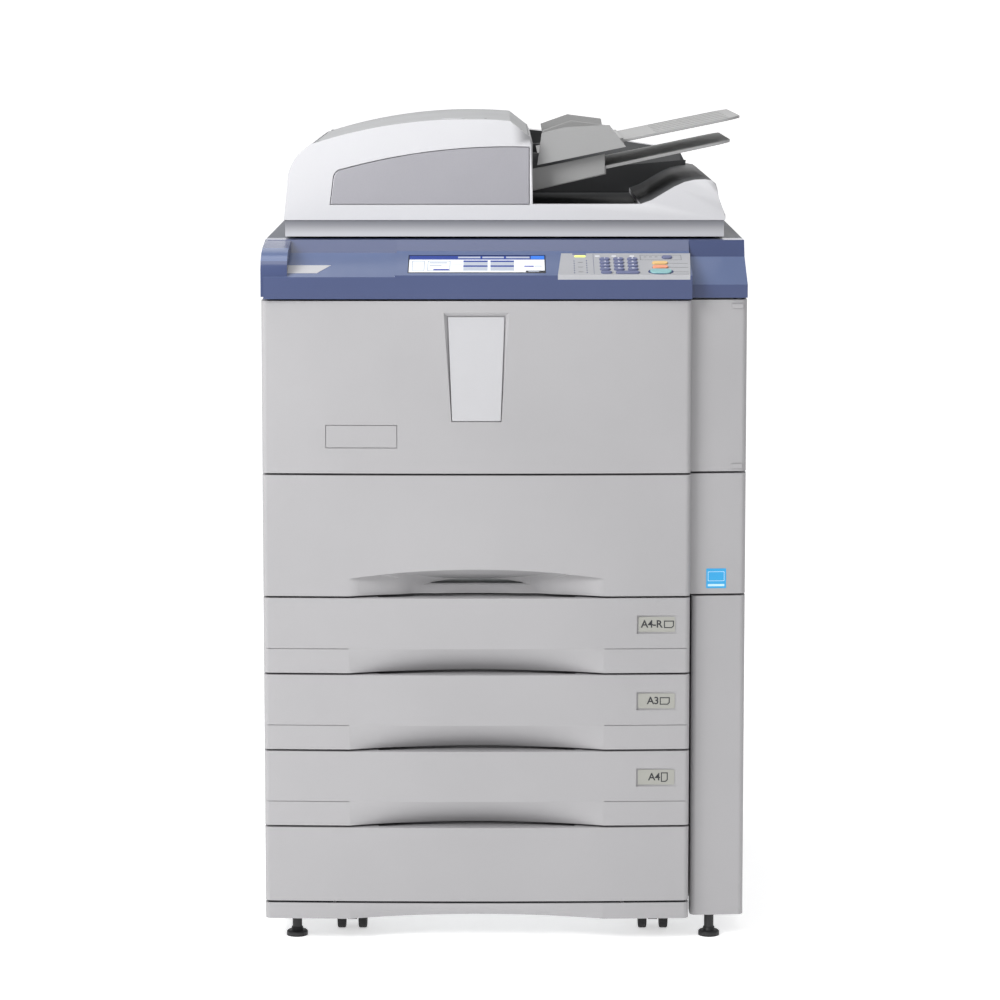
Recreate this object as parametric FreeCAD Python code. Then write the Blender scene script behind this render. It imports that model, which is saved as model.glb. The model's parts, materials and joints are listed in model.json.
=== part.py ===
"""Floor-standing office photocopier: casings, drawers, document feeder, control panel and print engine.

Frame: +Z up, the front faces -Y, origin on the floor under the middle of the machine. Millimetres.
Depths are counted from the front plane of the machine with the function at_depth().
"""

import FreeCAD, Part
import math
import os

from FreeCAD import Vector

os.makedirs("parts", exist_ok=True)

# ---------------------------------------------------------------- overall
WIDTH = 698.0                # outside of left cover to outside of right cover
DEPTH = 789.0                # front plane to back of rear cover
WALL = 3.0                   # moulded cover wall
SHEET = 2.0                  # steel sheet
SEAM = 3.0                   # visible gap between covers
RUN_GAP = 0.1                # radial gap of pins and shafts in their holes
SEAT_GAP = 0.3               # gap of sliding parts on their seats

X_LEFT = -WIDTH / 2
X_RIGHT = WIDTH / 2
COLUMN_WIDTH = 78.0          # set-back column at the right of the front
X_MAIN_RIGHT = X_RIGHT - COLUMN_WIDTH - SEAM
X_MAIN_MID = (X_LEFT + X_MAIN_RIGHT) / 2
BOW = 7.0                    # how much the main front bulges in its middle
COLUMN_SET = 24.0            # the column's front lies this much behind the main front
COLUMN_SLANT = 5.0           # and its outer edge this much further
CORNER = 8.0                 # rounding of upright outer corners
COVER_DEPTH = 45.0           # front covers and drawer fronts reach this far back

# ---------------------------------------------------------------- heights
SKIRT_BOTTOM = 33.0
PAN_BOTTOM = 52.0
PAN = 4.0
DRAWER_BASE = 58.0           # seam under the lowest drawer
DRAWER_PITCH = 112.5
DRAWERS = 4
LOWER_COVER_TOP = 687.0      # seam between the lower and the opening front cover
LIP_BOTTOM = 940.0           # underside of the control panel and scanner
LIP_TOP = 974.0
SCANNER_TOP = 1017.5
SEAM_TOP = DRAWER_BASE + DRAWERS * DRAWER_PITCH

# ---------------------------------------------------------------- frame
PLATE_LEFT = X_LEFT + 14.0   # inner face of left frame plate is one sheet further
PLATE_RIGHT = X_MAIN_RIGHT - 6.0
FRAME_FRONT = COVER_DEPTH + 5.0
FRAME_BACK = DEPTH - 30.0

# ---------------------------------------------------------------- hand grips
GRIP_WIDTH = 370.0
GRIP_DEPTH = 32.0
GRIP_STRIP = 37.0            # height of the sloping strip over a grip
SCOOP_WIDTH = 306.0          # deeper scoop in the lower front cover
SCOOP_DEPTH = 42.0
SCOOP_RISE = 14.0            # its upper edge arches this much
LEDGE_CHANNEL = 286.0        # finger channel in the top of each drawer front

# ---------------------------------------------------------------- control panel
PANEL_RUN = 96.0             # depth of the sloping face
PANEL_RISE = 28.0
RISER_RUN = 12.0
LEFT_PANEL_DROP = 2.5        # the part left of the screen lies lower
X_PANEL_STEP = -157.0
SHOULDER = 38.0              # raised ends of the panel
SCREEN_WIDTH = 198.0
SCREEN_HEIGHT = 74.0
X_SCREEN = -40.0
SCREEN_UP = 46.5             # middle of the screen up the slope
KEY_PLATE_LEFT = 76.0
KEY_PLATE_SLANT = 6.0
KEY_PLATE_RUN = 88.0
KEY_PLATE_THICK = 5.0
KEY_PLATE_PROUD = 1.0
KEY_PROUD = 2.2              # a key stands this far out of the key plate
KEY_GAP = 0.4
KEY_FLANGE = 1.2
DIGIT_PITCH_X = 20.0
DIGIT_PITCH_U = 13.5
DIGIT_WIDTH = 15.0
DIGIT_HEIGHT = 9.5

# ---------------------------------------------------------------- document feeder
FEEDER_HALF = 323.0
FEEDER_FRONT = 130.0
FEEDER_BACK = 700.0
FEEDER_LEAN = 22.0           # the front leans back this much at its top
BASE_BOTTOM = SCANNER_TOP + 1.3
BASE_TOP = 1045.0            # top of the feeder base under the housing
BAND_TOP = 1068.0            # top of the white band at the right
HUMP_TOP = 1104.0
HUMP_WALL = 4.0
# the hump of the delivery deck: X and how far under its top, then in from the right end and how far under
HUMP_RISE = ((200.0, 36.0), (215.0, 30.5), (232.0, 20.5), (249.0, 10.5), (264.0, 3.8), (279.0, 0.6), (293.0, 0.0))
HUMP_FALL = ((20.0, 1.5), (14.0, 6.0), (11.5, 14.0), (9.5, 26.0), (4.5, 40.0), (0.0, 52.0))
HOUSING_RIGHT = 41.0
HOUSING_BACK = 655.0
TRAY_ANGLE = 11.5
TRAY_FRONT = 180.0
TRAY_BACK = 520.0
LID_WALL = 3.0


def at_depth(depth):
    """Y of a plane this far behind the front plane."""
    return depth - DEPTH / 2


def block(x0, x1, d0, d1, z0, z1):
    return Part.makeBox(x1 - x0, d1 - d0, z1 - z0, Vector(x0, at_depth(d0), z0))


def rod_x(radius, x0, x1, depth, z):
    return Part.makeCylinder(radius, x1 - x0, Vector(x0, at_depth(depth), z), Vector(1, 0, 0))


def rod_y(radius, d0, d1, x, z):
    return Part.makeCylinder(radius, d1 - d0, Vector(x, at_depth(d0), z), Vector(0, 1, 0))


def rod_z(radius, z0, z1, x, depth):
    return Part.makeCylinder(radius, z1 - z0, Vector(x, at_depth(depth), z0))


def prism(points, direction):
    """Solid swept from a closed polygon along a vector."""
    return Part.Face(Part.makePolygon(points + points[:1])).extrude(direction)


def profile_x(points, x0, x1):
    """(depth, z) outline swept along X."""
    return prism([Vector(x0, at_depth(d), z) for d, z in points], Vector(x1 - x0, 0, 0))


def profile_y(points, d0, d1):
    """(x, z) outline swept along depth."""
    return prism([Vector(x, at_depth(d0), z) for x, z in points], Vector(0, d1 - d0, 0))


def plan(points, z0, z1):
    """(x, depth) outline swept upwards."""
    return prism([Vector(x, at_depth(d), z0) for x, d in points], Vector(0, 0, z1 - z0))


def fuse(first, *others):
    return first.multiFuse(list(others)).removeSplitter()


def round_edges(shape, places, radius):
    """Fillets the edges whose middle lies within a millimetre of one of the places."""
    chosen = []
    for edge in shape.Edges:
        middle = edge.valueAt((edge.FirstParameter + edge.LastParameter) / 2)
        if any(middle.distanceToPoint(p) < 1.0 for p in places):
            chosen.append(edge)
    return shape.makeFillet(radius, chosen)


def save(name, shape):
    solids = shape.Solids
    if not solids or not all(s.isValid() for s in solids):
        raise ValueError(f"{name} is not made of valid solids")
    Part.makeCompound(solids).exportStep(f"parts/{name}.step")


# ================================================================ bowed fronts
def bow_depth(x):
    """Depth of the main front's outer face at x."""
    half = (X_MAIN_RIGHT - X_LEFT) / 2
    return BOW * ((x - X_MAIN_MID) / half) ** 2


def bowed_face(x0, x1, inset, back, z):
    """Plan face of the main front between x0 and x1, set in by a wall."""
    ends = [Vector(x, at_depth(bow_depth(x) + inset), z) for x in (x0, x1)]
    middle = Vector((x0 + x1) / 2, at_depth(bow_depth((x0 + x1) / 2) + inset), z)
    rear = [Vector(x1, at_depth(back), z), Vector(x0, at_depth(back), z)]
    edges = [
        Part.Arc(ends[0], middle, ends[1]).toShape(),
        Part.makeLine(ends[1], rear[0]),
        Part.makeLine(rear[0], rear[1]),
        Part.makeLine(rear[1], ends[0]),
    ]
    return Part.Face(Part.Wire(edges))


def bowed_block(x0, x1, inset, back, z0, z1, corner):
    """Main front block with rounded upright front corners."""
    solid = bowed_face(x0, x1, inset, back, z0).extrude(Vector(0, 0, z1 - z0))
    places = [Vector(x, at_depth(bow_depth(x) + inset), (z0 + z1) / 2) for x in (x0, x1)]
    return round_edges(solid, places, corner)


def column_block(x0, x1, inset, back, z0, z1, corner):
    """Set-back column at the right, its front slanting outwards and back."""
    slope = COLUMN_SLANT / COLUMN_WIDTH
    fronts = [COLUMN_SET + inset + slope * (x - X_MAIN_RIGHT) for x in (x0, x1)]
    solid = plan([(x0, fronts[0]), (x1, fronts[1]), (x1, back), (x0, back)], z0, z1)
    return round_edges(solid, [Vector(x1, at_depth(fronts[1]), (z0 + z1) / 2)], corner)


def full_width_block(inset, back, z0, z1):
    """Main front and column as one block."""
    main = bowed_block(X_LEFT + inset, X_MAIN_RIGHT - inset, inset, back, z0, z1, CORNER - inset)
    column = column_block(X_MAIN_RIGHT - inset - 4, X_RIGHT - inset, inset, back, z0, z1, CORNER - inset)
    return fuse(main, column)


def grip_wire(z, front, depth_at_middle):
    half = GRIP_WIDTH / 2
    left, right = X_MAIN_MID - half, X_MAIN_MID + half
    a = Vector(left, at_depth(front), z)
    b = Vector(right, at_depth(front), z)
    c = Vector(right, at_depth(bow_depth(right)), z)
    d = Vector(left, at_depth(bow_depth(left)), z)
    middle = Vector(X_MAIN_MID, at_depth(depth_at_middle), z)
    return Part.Wire([
        Part.makeLine(a, b),
        Part.makeLine(b, c),
        Part.Arc(c, middle, d).toShape(),
        Part.makeLine(d, a),
    ])


def grip_cut(z_bottom, z_top, wall):
    """What a hand grip takes away: nothing at its straight top edge, a shallow arc at the bottom."""
    top = grip_wire(z_top, -60.0, 0.01)
    bottom = grip_wire(z_bottom, -60.0, GRIP_DEPTH)
    cut = Part.makeLoft([bottom, top], True, True)
    if wall:
        cut.translate(Vector(0, wall, wall / 2))
    return cut


# ================================================================ drawers
def seam_under(number):
    """Height of the seam under a drawer, counted from the top."""
    return DRAWER_BASE + (DRAWERS - number) * DRAWER_PITCH


TRAY_LEFT = PLATE_LEFT + SHEET + 10.0
TRAY_RIGHT = PLATE_RIGHT - 10.0
TRAY_LIFT = 14.0             # tray bottom over the seam
TRAY_HEIGHT = 72.0
TRAY_LENGTH = 500.0
RIM = 7.5                    # rim of the tray that hangs on the rails
RIB_WIDTH = 4.0
LABEL_WIDTH = 58.0
LABEL_HEIGHT = 27.0
LABEL_POCKET = 1.6
X_LABEL = 220.0
LABEL_ABOVE_STRIP = 22.0


def drawer_face(number):
    z0 = seam_under(number) + SEAM / 2
    z1 = seam_under(number) + DRAWER_PITCH - SEAM / 2
    strip = seam_under(number) + GRIP_STRIP
    outer = bowed_block(X_LEFT, X_MAIN_RIGHT, 0, COVER_DEPTH, z0, z1, CORNER)
    inner = bowed_block(
        X_LEFT + WALL, X_MAIN_RIGHT - WALL, WALL, COVER_DEPTH + 1, z0 + WALL, z1 - WALL, CORNER - WALL
    )
    has_grip = number < DRAWERS
    if has_grip:
        inner = inner.cut(grip_cut(z0 - 5, strip, WALL))
    face = outer.cut(inner)
    if has_grip:
        face = face.cut(grip_cut(z0 - 1, strip, 0))
        half = GRIP_WIDTH / 2
        for x0, x1 in ((X_LEFT - 1, X_MAIN_MID - half), (X_MAIN_MID + half, X_MAIN_RIGHT + 1)):
            groove = bowed_face(x0, x1, 1.2, -10.0, strip - 0.6)
            band = block(x0, x1, -10, 1.2 + BOW, strip - 0.6, strip + 0.6)
            face = face.cut(band.common(groove.extrude(Vector(0, 0, 1.2))))
        z_label = strip + LABEL_ABOVE_STRIP
        d_label = bow_depth(X_LABEL) + LABEL_POCKET
        face = face.cut(block(
            X_LABEL - LABEL_WIDTH / 2, X_LABEL + LABEL_WIDTH / 2, -5, d_label, z_label, z_label + LABEL_HEIGHT
        ))
    channel = LEDGE_CHANNEL / 2
    face = face.cut(block(
        X_MAIN_MID - channel, X_MAIN_MID + channel, 12, GRIP_DEPTH + 6, z1 - 1.5, z1 + 1
    ))
    ribs = []
    tray_z0 = seam_under(number) + TRAY_LIFT
    for x in (X_LEFT + 60, X_MAIN_RIGHT - 60):
        ribs.append(block(
            x, x + RIB_WIDTH, bow_depth(x) + WALL - 0.5, COVER_DEPTH, tray_z0, tray_z0 + TRAY_HEIGHT - 8
        ))
    return fuse(face, *ribs)


def drawer_tray(number):
    """Steel tray with its rims, the lift plate in it and the two side guides and end stop."""
    z0 = seam_under(number) + TRAY_LIFT
    z1 = z0 + TRAY_HEIGHT
    back = COVER_DEPTH + TRAY_LENGTH
    tray = block(TRAY_LEFT, TRAY_RIGHT, COVER_DEPTH, back, z0, z1)
    tray = tray.cut(block(
        TRAY_LEFT + SHEET, TRAY_RIGHT - SHEET, COVER_DEPTH + SHEET, back - SHEET, z0 + SHEET, z1 + 1
    ))
    tray = fuse(
        tray,
        block(TRAY_LEFT - RIM, TRAY_LEFT + 1, COVER_DEPTH, back, z1 - SHEET, z1),
        block(TRAY_RIGHT - 1, TRAY_RIGHT + RIM, COVER_DEPTH, back, z1 - SHEET, z1),
    )
    floor = z0 + SHEET
    lift = block(TRAY_LEFT + 60, TRAY_RIGHT - 160, COVER_DEPTH + 40, back - 60, floor, floor + 3)
    guides = [
        block(TRAY_LEFT + 70, TRAY_RIGHT - 170, d, d + 3, floor + 3, z1 - 6)
        for d in (COVER_DEPTH + 62, back - 82)
    ]
    stop = block(TRAY_RIGHT - 150, TRAY_RIGHT - 147, COVER_DEPTH + 180, back - 200, floor, z1 - 6)
    return Part.makeCompound([tray, fuse(lift, *guides), stop])


for number in range(1, DRAWERS + 1):
    save(f"drawer_face_{number}", drawer_face(number))
    save(f"drawer_tray_{number}", drawer_tray(number))


# ================================================================ front covers
NAME_TOP = 914.5
NAME_BOTTOM = 763.5
NAME_TOP_WIDTH = 82.0
NAME_BOTTOM_WIDTH = 71.0
NAME_BEVEL = 7.0
NAME_DEPTH = 6.0
NAME_THICK = 2.5
FLAP_LEFT = -257.4
FLAP_WIDTH = 103.0
FLAP_BOTTOM = 725.0
FLAP_HEIGHT = 33.5
FLAP_GAP = 0.8
FLAP_PIN = 0.9
FLAP_PIN_RISE = 1.3          # pin axis over the flap's lower edge
HINGE_X = X_RIGHT - 14.0     # upright hinge line of the opening front cover
HINGE_DEPTH = 40.0
HINGE_PIN = 3.0
HINGE_EAR = 6.0
COVER_TOP = LIP_BOTTOM - SEAM
LEAF_Z = ((LOWER_COVER_TOP + 6.0, 1), (COVER_TOP - 6.0 - HINGE_EAR, -1))


def trapezium(top_width, bottom_width, top, bottom, depth):
    points = [
        (X_MAIN_MID - bottom_width / 2, bottom), (X_MAIN_MID + bottom_width / 2, bottom),
        (X_MAIN_MID + top_width / 2, top), (X_MAIN_MID - top_width / 2, top),
    ]
    return Part.makePolygon([Vector(x, at_depth(depth), z) for x, z in points + points[:1]])


def name_pocket():
    """Bevelled pocket, wider at its mouth than at its floor."""
    mouth = trapezium(
        NAME_TOP_WIDTH + 2 * NAME_BEVEL, NAME_BOTTOM_WIDTH + 1, NAME_TOP + NAME_BEVEL, NAME_BOTTOM - 0.5, -1.0
    )
    floor = trapezium(NAME_TOP_WIDTH, NAME_BOTTOM_WIDTH, NAME_TOP, NAME_BOTTOM, NAME_DEPTH)
    return Part.makeLoft([mouth, floor], True, True)


def name_plate():
    """Tapered plate, tilted so that its foot is nearly flush with the cover."""
    gap = 0.5
    top_width = NAME_TOP_WIDTH - 2 * gap
    bottom_width = NAME_BOTTOM_WIDTH - 2 * gap
    solid = profile_y([
        (X_MAIN_MID - bottom_width / 2, NAME_BOTTOM + gap), (X_MAIN_MID + bottom_width / 2, NAME_BOTTOM + gap),
        (X_MAIN_MID + top_width / 2, NAME_TOP - gap), (X_MAIN_MID - top_width / 2, NAME_TOP - gap),
    ], 0, NAME_DEPTH)
    wedge = profile_x([
        (0.8, NAME_BOTTOM - 5), (NAME_DEPTH - NAME_THICK, NAME_TOP + 5), (NAME_DEPTH, NAME_TOP + 5),
        (NAME_DEPTH, NAME_BOTTOM - 5),
    ], X_MAIN_MID - 60, X_MAIN_MID + 60)
    return solid.common(wedge)


def flap_window(gap):
    return block(
        FLAP_LEFT + gap, FLAP_LEFT + FLAP_WIDTH - gap, -5, 20, FLAP_BOTTOM + gap, FLAP_BOTTOM + FLAP_HEIGHT - gap
    )


def flap_rod(radius, beyond):
    """Rod on the flap's hinge line, in the middle of the cover's wall, reaching past the flap's ends."""
    ends = [
        Vector(x, at_depth(bow_depth(x) + WALL / 2), FLAP_BOTTOM + FLAP_GAP + FLAP_PIN_RISE)
        for x in (FLAP_LEFT, FLAP_LEFT + FLAP_WIDTH)
    ]
    line = (ends[1] - ends[0]).normalize()
    return Part.makeCylinder(radius, FLAP_WIDTH + 2 * beyond, ends[0] - line * beyond, line)


def cover_shell(z0, z1, back):
    """Open-backed shell of the full-width front."""
    outer = full_width_block(0, back, z0, z1)
    inner = full_width_block(WALL, back + 1, z0 + WALL, z1 - WALL)
    return outer.cut(inner)


def front_cover():
    z0, z1 = LOWER_COVER_TOP + SEAM / 2, COVER_TOP
    shell = cover_shell(z0, z1, COVER_DEPTH)
    corner_gap = block(X_MAIN_RIGHT + 8, X_RIGHT + 5, HINGE_DEPTH - 1.5, COVER_DEPTH + 5, z0 - 1, z1 + 1)
    shell = shell.cut(corner_gap)
    backing = block(X_MAIN_MID - 55, X_MAIN_MID + 55, WALL - 1, NAME_DEPTH + WALL, NAME_BOTTOM - 6, NAME_TOP + 14)
    shell = fuse(shell, backing).cut(name_pocket())
    shell = shell.cut(flap_window(0))
    ears = []
    for z, side in LEAF_Z:
        ear = plan([
            (HINGE_X - 8, COLUMN_SET + 2), (HINGE_X + 8, COLUMN_SET + 2.5), (HINGE_X + 8, HINGE_DEPTH + 2),
            (HINGE_X - 8, HINGE_DEPTH + 2),
        ], z, z + HINGE_EAR)
        ears.append(fuse(ear, rod_z(8, z, z + HINGE_EAR, HINGE_X, HINGE_DEPTH)))
    shell = fuse(shell, *ears)
    for z, side in LEAF_Z:
        shell = shell.cut(rod_z(HINGE_PIN + RUN_GAP, z - 1, z + HINGE_EAR + 1, HINGE_X, HINGE_DEPTH))
    shell = shell.cut(flap_rod(FLAP_PIN + RUN_GAP, 4.5))
    return shell


def switch_flap():
    """Small flap over the main switch, on two stub pins in the thickness of the cover."""
    flap = cover_shell(LOWER_COVER_TOP + SEAM / 2, COVER_TOP, COVER_DEPTH).common(flap_window(FLAP_GAP))
    pin_z = FLAP_BOTTOM + FLAP_GAP + FLAP_PIN_RISE
    below = block(FLAP_LEFT - 5, FLAP_LEFT + FLAP_WIDTH + 5, -5, 20, FLAP_BOTTOM - 5, pin_z)
    edge = flap.common(below).common(flap_rod(WALL / 2 + 0.25, 4.0))
    return fuse(flap.cut(below), edge, flap_rod(FLAP_PIN, 4.0))


def scoop_region(width, depth, slack):
    """Plan arc of a scoop, as a tall block in front of it."""
    half = width / 2
    left = Vector(X_MAIN_MID - half, at_depth(bow_depth(X_MAIN_MID - half) + slack), SEAM_TOP - 20)
    right = Vector(X_MAIN_MID + half, at_depth(bow_depth(X_MAIN_MID + half) + slack), SEAM_TOP - 20)
    deep = Vector(X_MAIN_MID, at_depth(depth + slack), SEAM_TOP - 20)
    a = Vector(right.x, at_depth(-40), right.z)
    b = Vector(left.x, at_depth(-40), left.z)
    wire = Part.Wire([
        Part.Arc(left, deep, right).toShape(), Part.makeLine(right, a), Part.makeLine(a, b), Part.makeLine(b, left),
    ])
    return Part.Face(wire).extrude(Vector(0, 0, 120))


def scoop_cut(wall):
    """Hand grip of the lower front cover: an arched mouth, a sloping strip and a deeper scoop behind it."""
    half = GRIP_WIDTH / 2
    z_end = SEAM_TOP + 27.0 + wall
    z_mid = z_end + SCOOP_RISE
    foot = SEAM_TOP - 20
    left = Vector(X_MAIN_MID - half - wall, at_depth(-40), z_end)
    right = Vector(X_MAIN_MID + half + wall, at_depth(-40), z_end)
    corners = [Vector(right.x, right.y, foot), Vector(left.x, left.y, foot)]
    arch = Part.Face(Part.Wire([
        Part.Arc(left, Vector(X_MAIN_MID, left.y, z_mid), right).toShape(),
        Part.makeLine(right, corners[0]), Part.makeLine(corners[0], corners[1]), Part.makeLine(corners[1], left),
    ])).extrude(Vector(0, 120, 0))
    x0, x1 = X_MAIN_MID - half - 20, X_MAIN_MID + half + 20
    strip = profile_x([
        (-40, foot), (-40, z_mid + 5), (0, z_mid + 2), (GRIP_DEPTH + wall, z_mid - 24), (GRIP_DEPTH + wall, foot),
    ], x0, x1)
    deep = profile_x([
        (-40, foot), (-40, z_mid + 5), (0, z_mid + 4), (SCOOP_DEPTH + wall, z_mid - 20),
        (GRIP_DEPTH + wall, z_mid - 27), (GRIP_DEPTH - 8, foot),
    ], x0, x1)
    first = arch.common(strip).common(scoop_region(GRIP_WIDTH + 2 * wall, GRIP_DEPTH, wall))
    second = arch.common(deep).common(scoop_region(SCOOP_WIDTH + 2 * wall, SCOOP_DEPTH, wall))
    return fuse(first, second)


def lower_front_cover():
    z0, z1 = SEAM_TOP + SEAM / 2, LOWER_COVER_TOP - SEAM / 2
    back = COVER_DEPTH + WALL + 2
    outer = full_width_block(0, back, z0, z1)
    inner = full_width_block(WALL, back + 1, z0 + WALL, z1 - WALL).cut(scoop_cut(WALL))
    shell = outer.cut(inner).cut(scoop_cut(0))
    ribs = [
        block(x, x + RIB_WIDTH, bow_depth(x) + WALL - 0.5, FRAME_FRONT, z0 + 20, z1 - 20)
        for x in (X_LEFT + 50, X_MAIN_RIGHT - 60)
    ]
    return fuse(shell, *ribs)


save("front_cover", front_cover())
save("name_plate", name_plate())
save("switch_flap", switch_flap())
save("lower_front_cover", lower_front_cover())


def front_skirt():
    z0, z1 = SKIRT_BOTTOM, DRAWER_BASE - SEAM / 2
    outer = bowed_block(X_LEFT, X_MAIN_RIGHT, 0, COVER_DEPTH, z0, z1, CORNER)
    inner = bowed_block(
        X_LEFT + WALL, X_MAIN_RIGHT - WALL, WALL, COVER_DEPTH + 1, z0 - 1, z1 - WALL + 20, CORNER - WALL
    )
    inner = inner.cut(grip_cut(z0 - 2, z1, WALL))
    skirt = outer.cut(inner).cut(grip_cut(z0 - 1, z1, 0))
    ribs = [
        block(x, x + RIB_WIDTH, bow_depth(x) + WALL - 0.5, FRAME_FRONT, PAN_BOTTOM - 6, PAN_BOTTOM + PAN)
        for x in (X_MAIN_MID - GRIP_WIDTH / 2 - 25, X_MAIN_MID + GRIP_WIDTH / 2 + 25)
    ]
    return fuse(skirt, *ribs)


save("front_skirt", front_skirt())


# ================================================================ frame, wheels and feet
PAN_RIGHT = X_RIGHT - 15.0
CASTER_X = (-225.0, 219.0)
CASTER_DEPTH = 95.0
CASTER_RADIUS = 20.0
CASTER_TRAIL = 15.0
CASTER_WIDTH = 12.5
CASTER_SPREAD = 15.5         # half the distance between the twin wheels
STUD_RADIUS = 6.0
AXLE_RADIUS = 4.0
REAR_DEPTH = 690.0
REAR_RADIUS = 26.0
REAR_WIDTH = 22.0
REAR_AXLE = 5.0
FOOT_X = (-304.5, 300.0)
FOOT_DEPTH = 40.0
FOOT_PAD = 15.5
FOOT_STEM = 7.0
FOOT_TRAVEL = 10.0
BOSS_DROP = 12.0             # nut boss under the pan
ENGINE_FLOOR = SEAM_TOP + 3.0
PLATE_BACK = FRAME_BACK - SHEET
POST_X = HINGE_X - 12.0
SIDE_FRONT = COVER_DEPTH + 8.0   # the side covers start here
COLUMN_BACK = SIDE_FRONT + 8.0
POST_DEPTH = COLUMN_BACK + 5.0


def rail_top(number):
    """Top of the rails that carry a drawer's rims."""
    return seam_under(number) + TRAY_LIFT + TRAY_HEIGHT - SHEET - SEAT_GAP


def frame_back_plate():
    """Rear sheet of the frame, screwed against the edges of the side plates, floor and pan."""
    return block(PLATE_LEFT, PAN_RIGHT, PLATE_BACK, FRAME_BACK, PAN_BOTTOM, LIP_BOTTOM)


def base_frame():
    pan_top = PAN_BOTTOM + PAN
    members = [
        block(PLATE_LEFT, PLATE_LEFT + SHEET, FRAME_FRONT, PLATE_BACK, PAN_BOTTOM, LIP_BOTTOM),
        block(PLATE_RIGHT, PLATE_RIGHT + SHEET, FRAME_FRONT, PLATE_BACK, PAN_BOTTOM, LIP_BOTTOM),
        block(PLATE_LEFT, PLATE_RIGHT + SHEET, FRAME_FRONT, PLATE_BACK, ENGINE_FLOOR, ENGINE_FLOOR + SHEET),
        block(PLATE_LEFT, PLATE_RIGHT + SHEET, FRAME_FRONT, FRAME_FRONT + SHEET, ENGINE_FLOOR, ENGINE_FLOOR + 60),
        block(PLATE_LEFT, POST_X + 1, FRAME_FRONT + 16, FRAME_FRONT + 18, LIP_BOTTOM - 14, LIP_BOTTOM),
        block(POST_X, POST_X + 10, POST_DEPTH, POST_DEPTH + 14, PAN_BOTTOM, LIP_BOTTOM),
    ]
    for number in range(1, DRAWERS + 1):
        top = rail_top(number)
        back = COVER_DEPTH + TRAY_LENGTH
        members.append(block(PLATE_LEFT + 1, TRAY_LEFT - 1, FRAME_FRONT + 8, back, top - 12, top))
        members.append(block(TRAY_RIGHT + 1, PLATE_RIGHT + 1, FRAME_FRONT + 8, back, top - 12, top))
    for x in FOOT_X:
        members.append(block(x - 20, x + 20, FOOT_DEPTH - 8, COLUMN_BACK + 2, PAN_BOTTOM, pan_top))
        members.append(rod_z(FOOT_STEM + 2.5, PAN_BOTTOM - BOSS_DROP, PAN_BOTTOM + 1, x, FOOT_DEPTH))
    for side in (-1, 1):
        x = side * 250.0
        members.append(block(x - 3, x + 3, REAR_DEPTH - 12, REAR_DEPTH + 12, REAR_RADIUS - 10, PAN_BOTTOM + 1))
    pan = block(PLATE_LEFT, PLATE_RIGHT + SHEET, FRAME_FRONT, PLATE_BACK, PAN_BOTTOM, pan_top)
    wing = block(PLATE_RIGHT, PAN_RIGHT, COLUMN_BACK + 1, PLATE_BACK, PAN_BOTTOM, pan_top)
    frame = fuse(pan, wing, *members)
    for z, side in LEAF_Z:
        arm = z + HINGE_EAR + SEAT_GAP if side > 0 else z - SEAT_GAP - 4
        frame = fuse(
            frame,
            block(HINGE_X - 9, HINGE_X, HINGE_DEPTH, POST_DEPTH + 1, arm, arm + 4),
            rod_z(5, arm, arm + 4, HINGE_X, HINGE_DEPTH),
            rod_z(HINGE_PIN, min(arm, z - 0.5), max(arm + 4, z + HINGE_EAR + 0.5), HINGE_X, HINGE_DEPTH),
        )
    for x in FOOT_X:
        frame = frame.cut(rod_z(FOOT_STEM + RUN_GAP, 20, pan_top + 1, x, FOOT_DEPTH))
    for x in CASTER_X:
        frame = frame.cut(rod_z(STUD_RADIUS + RUN_GAP, 20, pan_top + 1, x, CASTER_DEPTH))
    return frame.cut(rod_x(REAR_AXLE + RUN_GAP, -260, 260, REAR_DEPTH, REAR_RADIUS))


def caster_fork(x):
    """Swivel stud, top plate and the neck that holds the axle between the twin wheels."""
    top = PAN_BOTTOM - SEAT_GAP
    axle_depth = CASTER_DEPTH - CASTER_TRAIL
    reach = CASTER_SPREAD + CASTER_WIDTH / 2 + 2
    neck = block(x - 7, x + 7, axle_depth - 7, CASTER_DEPTH + 12, CASTER_RADIUS - 6, top - 2)
    fork = fuse(
        rod_z(STUD_RADIUS, top - 4, PAN_BOTTOM + PAN, x, CASTER_DEPTH),
        rod_z(22, top - 4, top, x, CASTER_DEPTH),
        neck,
        rod_x(AXLE_RADIUS, x - reach, x + reach, axle_depth, CASTER_RADIUS),
    )
    return fork


def caster_wheels(x):
    wheels = []
    for side in (-1, 1):
        middle = x + side * CASTER_SPREAD
        x0, x1 = middle - CASTER_WIDTH / 2, middle + CASTER_WIDTH / 2
        wheel = rod_x(CASTER_RADIUS, x0, x1, CASTER_DEPTH - CASTER_TRAIL, CASTER_RADIUS)
        wheel = wheel.makeChamfer(1.5, [e for e in wheel.Edges if e.Curve.TypeId == "Part::GeomCircle"])
        bore = rod_x(AXLE_RADIUS + RUN_GAP, x0 - 1, x1 + 1, CASTER_DEPTH - CASTER_TRAIL, CASTER_RADIUS)
        wheels.append(wheel.cut(bore))
    return Part.makeCompound(wheels)


def rear_wheels():
    """Two fixed wheels on one axle that turns in the brackets under the pan."""
    parts = [rod_x(REAR_AXLE, -290, 290, REAR_DEPTH, REAR_RADIUS)]
    for side in (-1, 1):
        middle = side * (250.0 + 18.0)
        parts.append(rod_x(
            REAR_RADIUS, middle - REAR_WIDTH / 2, middle + REAR_WIDTH / 2, REAR_DEPTH, REAR_RADIUS
        ))
    return fuse(*parts)


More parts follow.
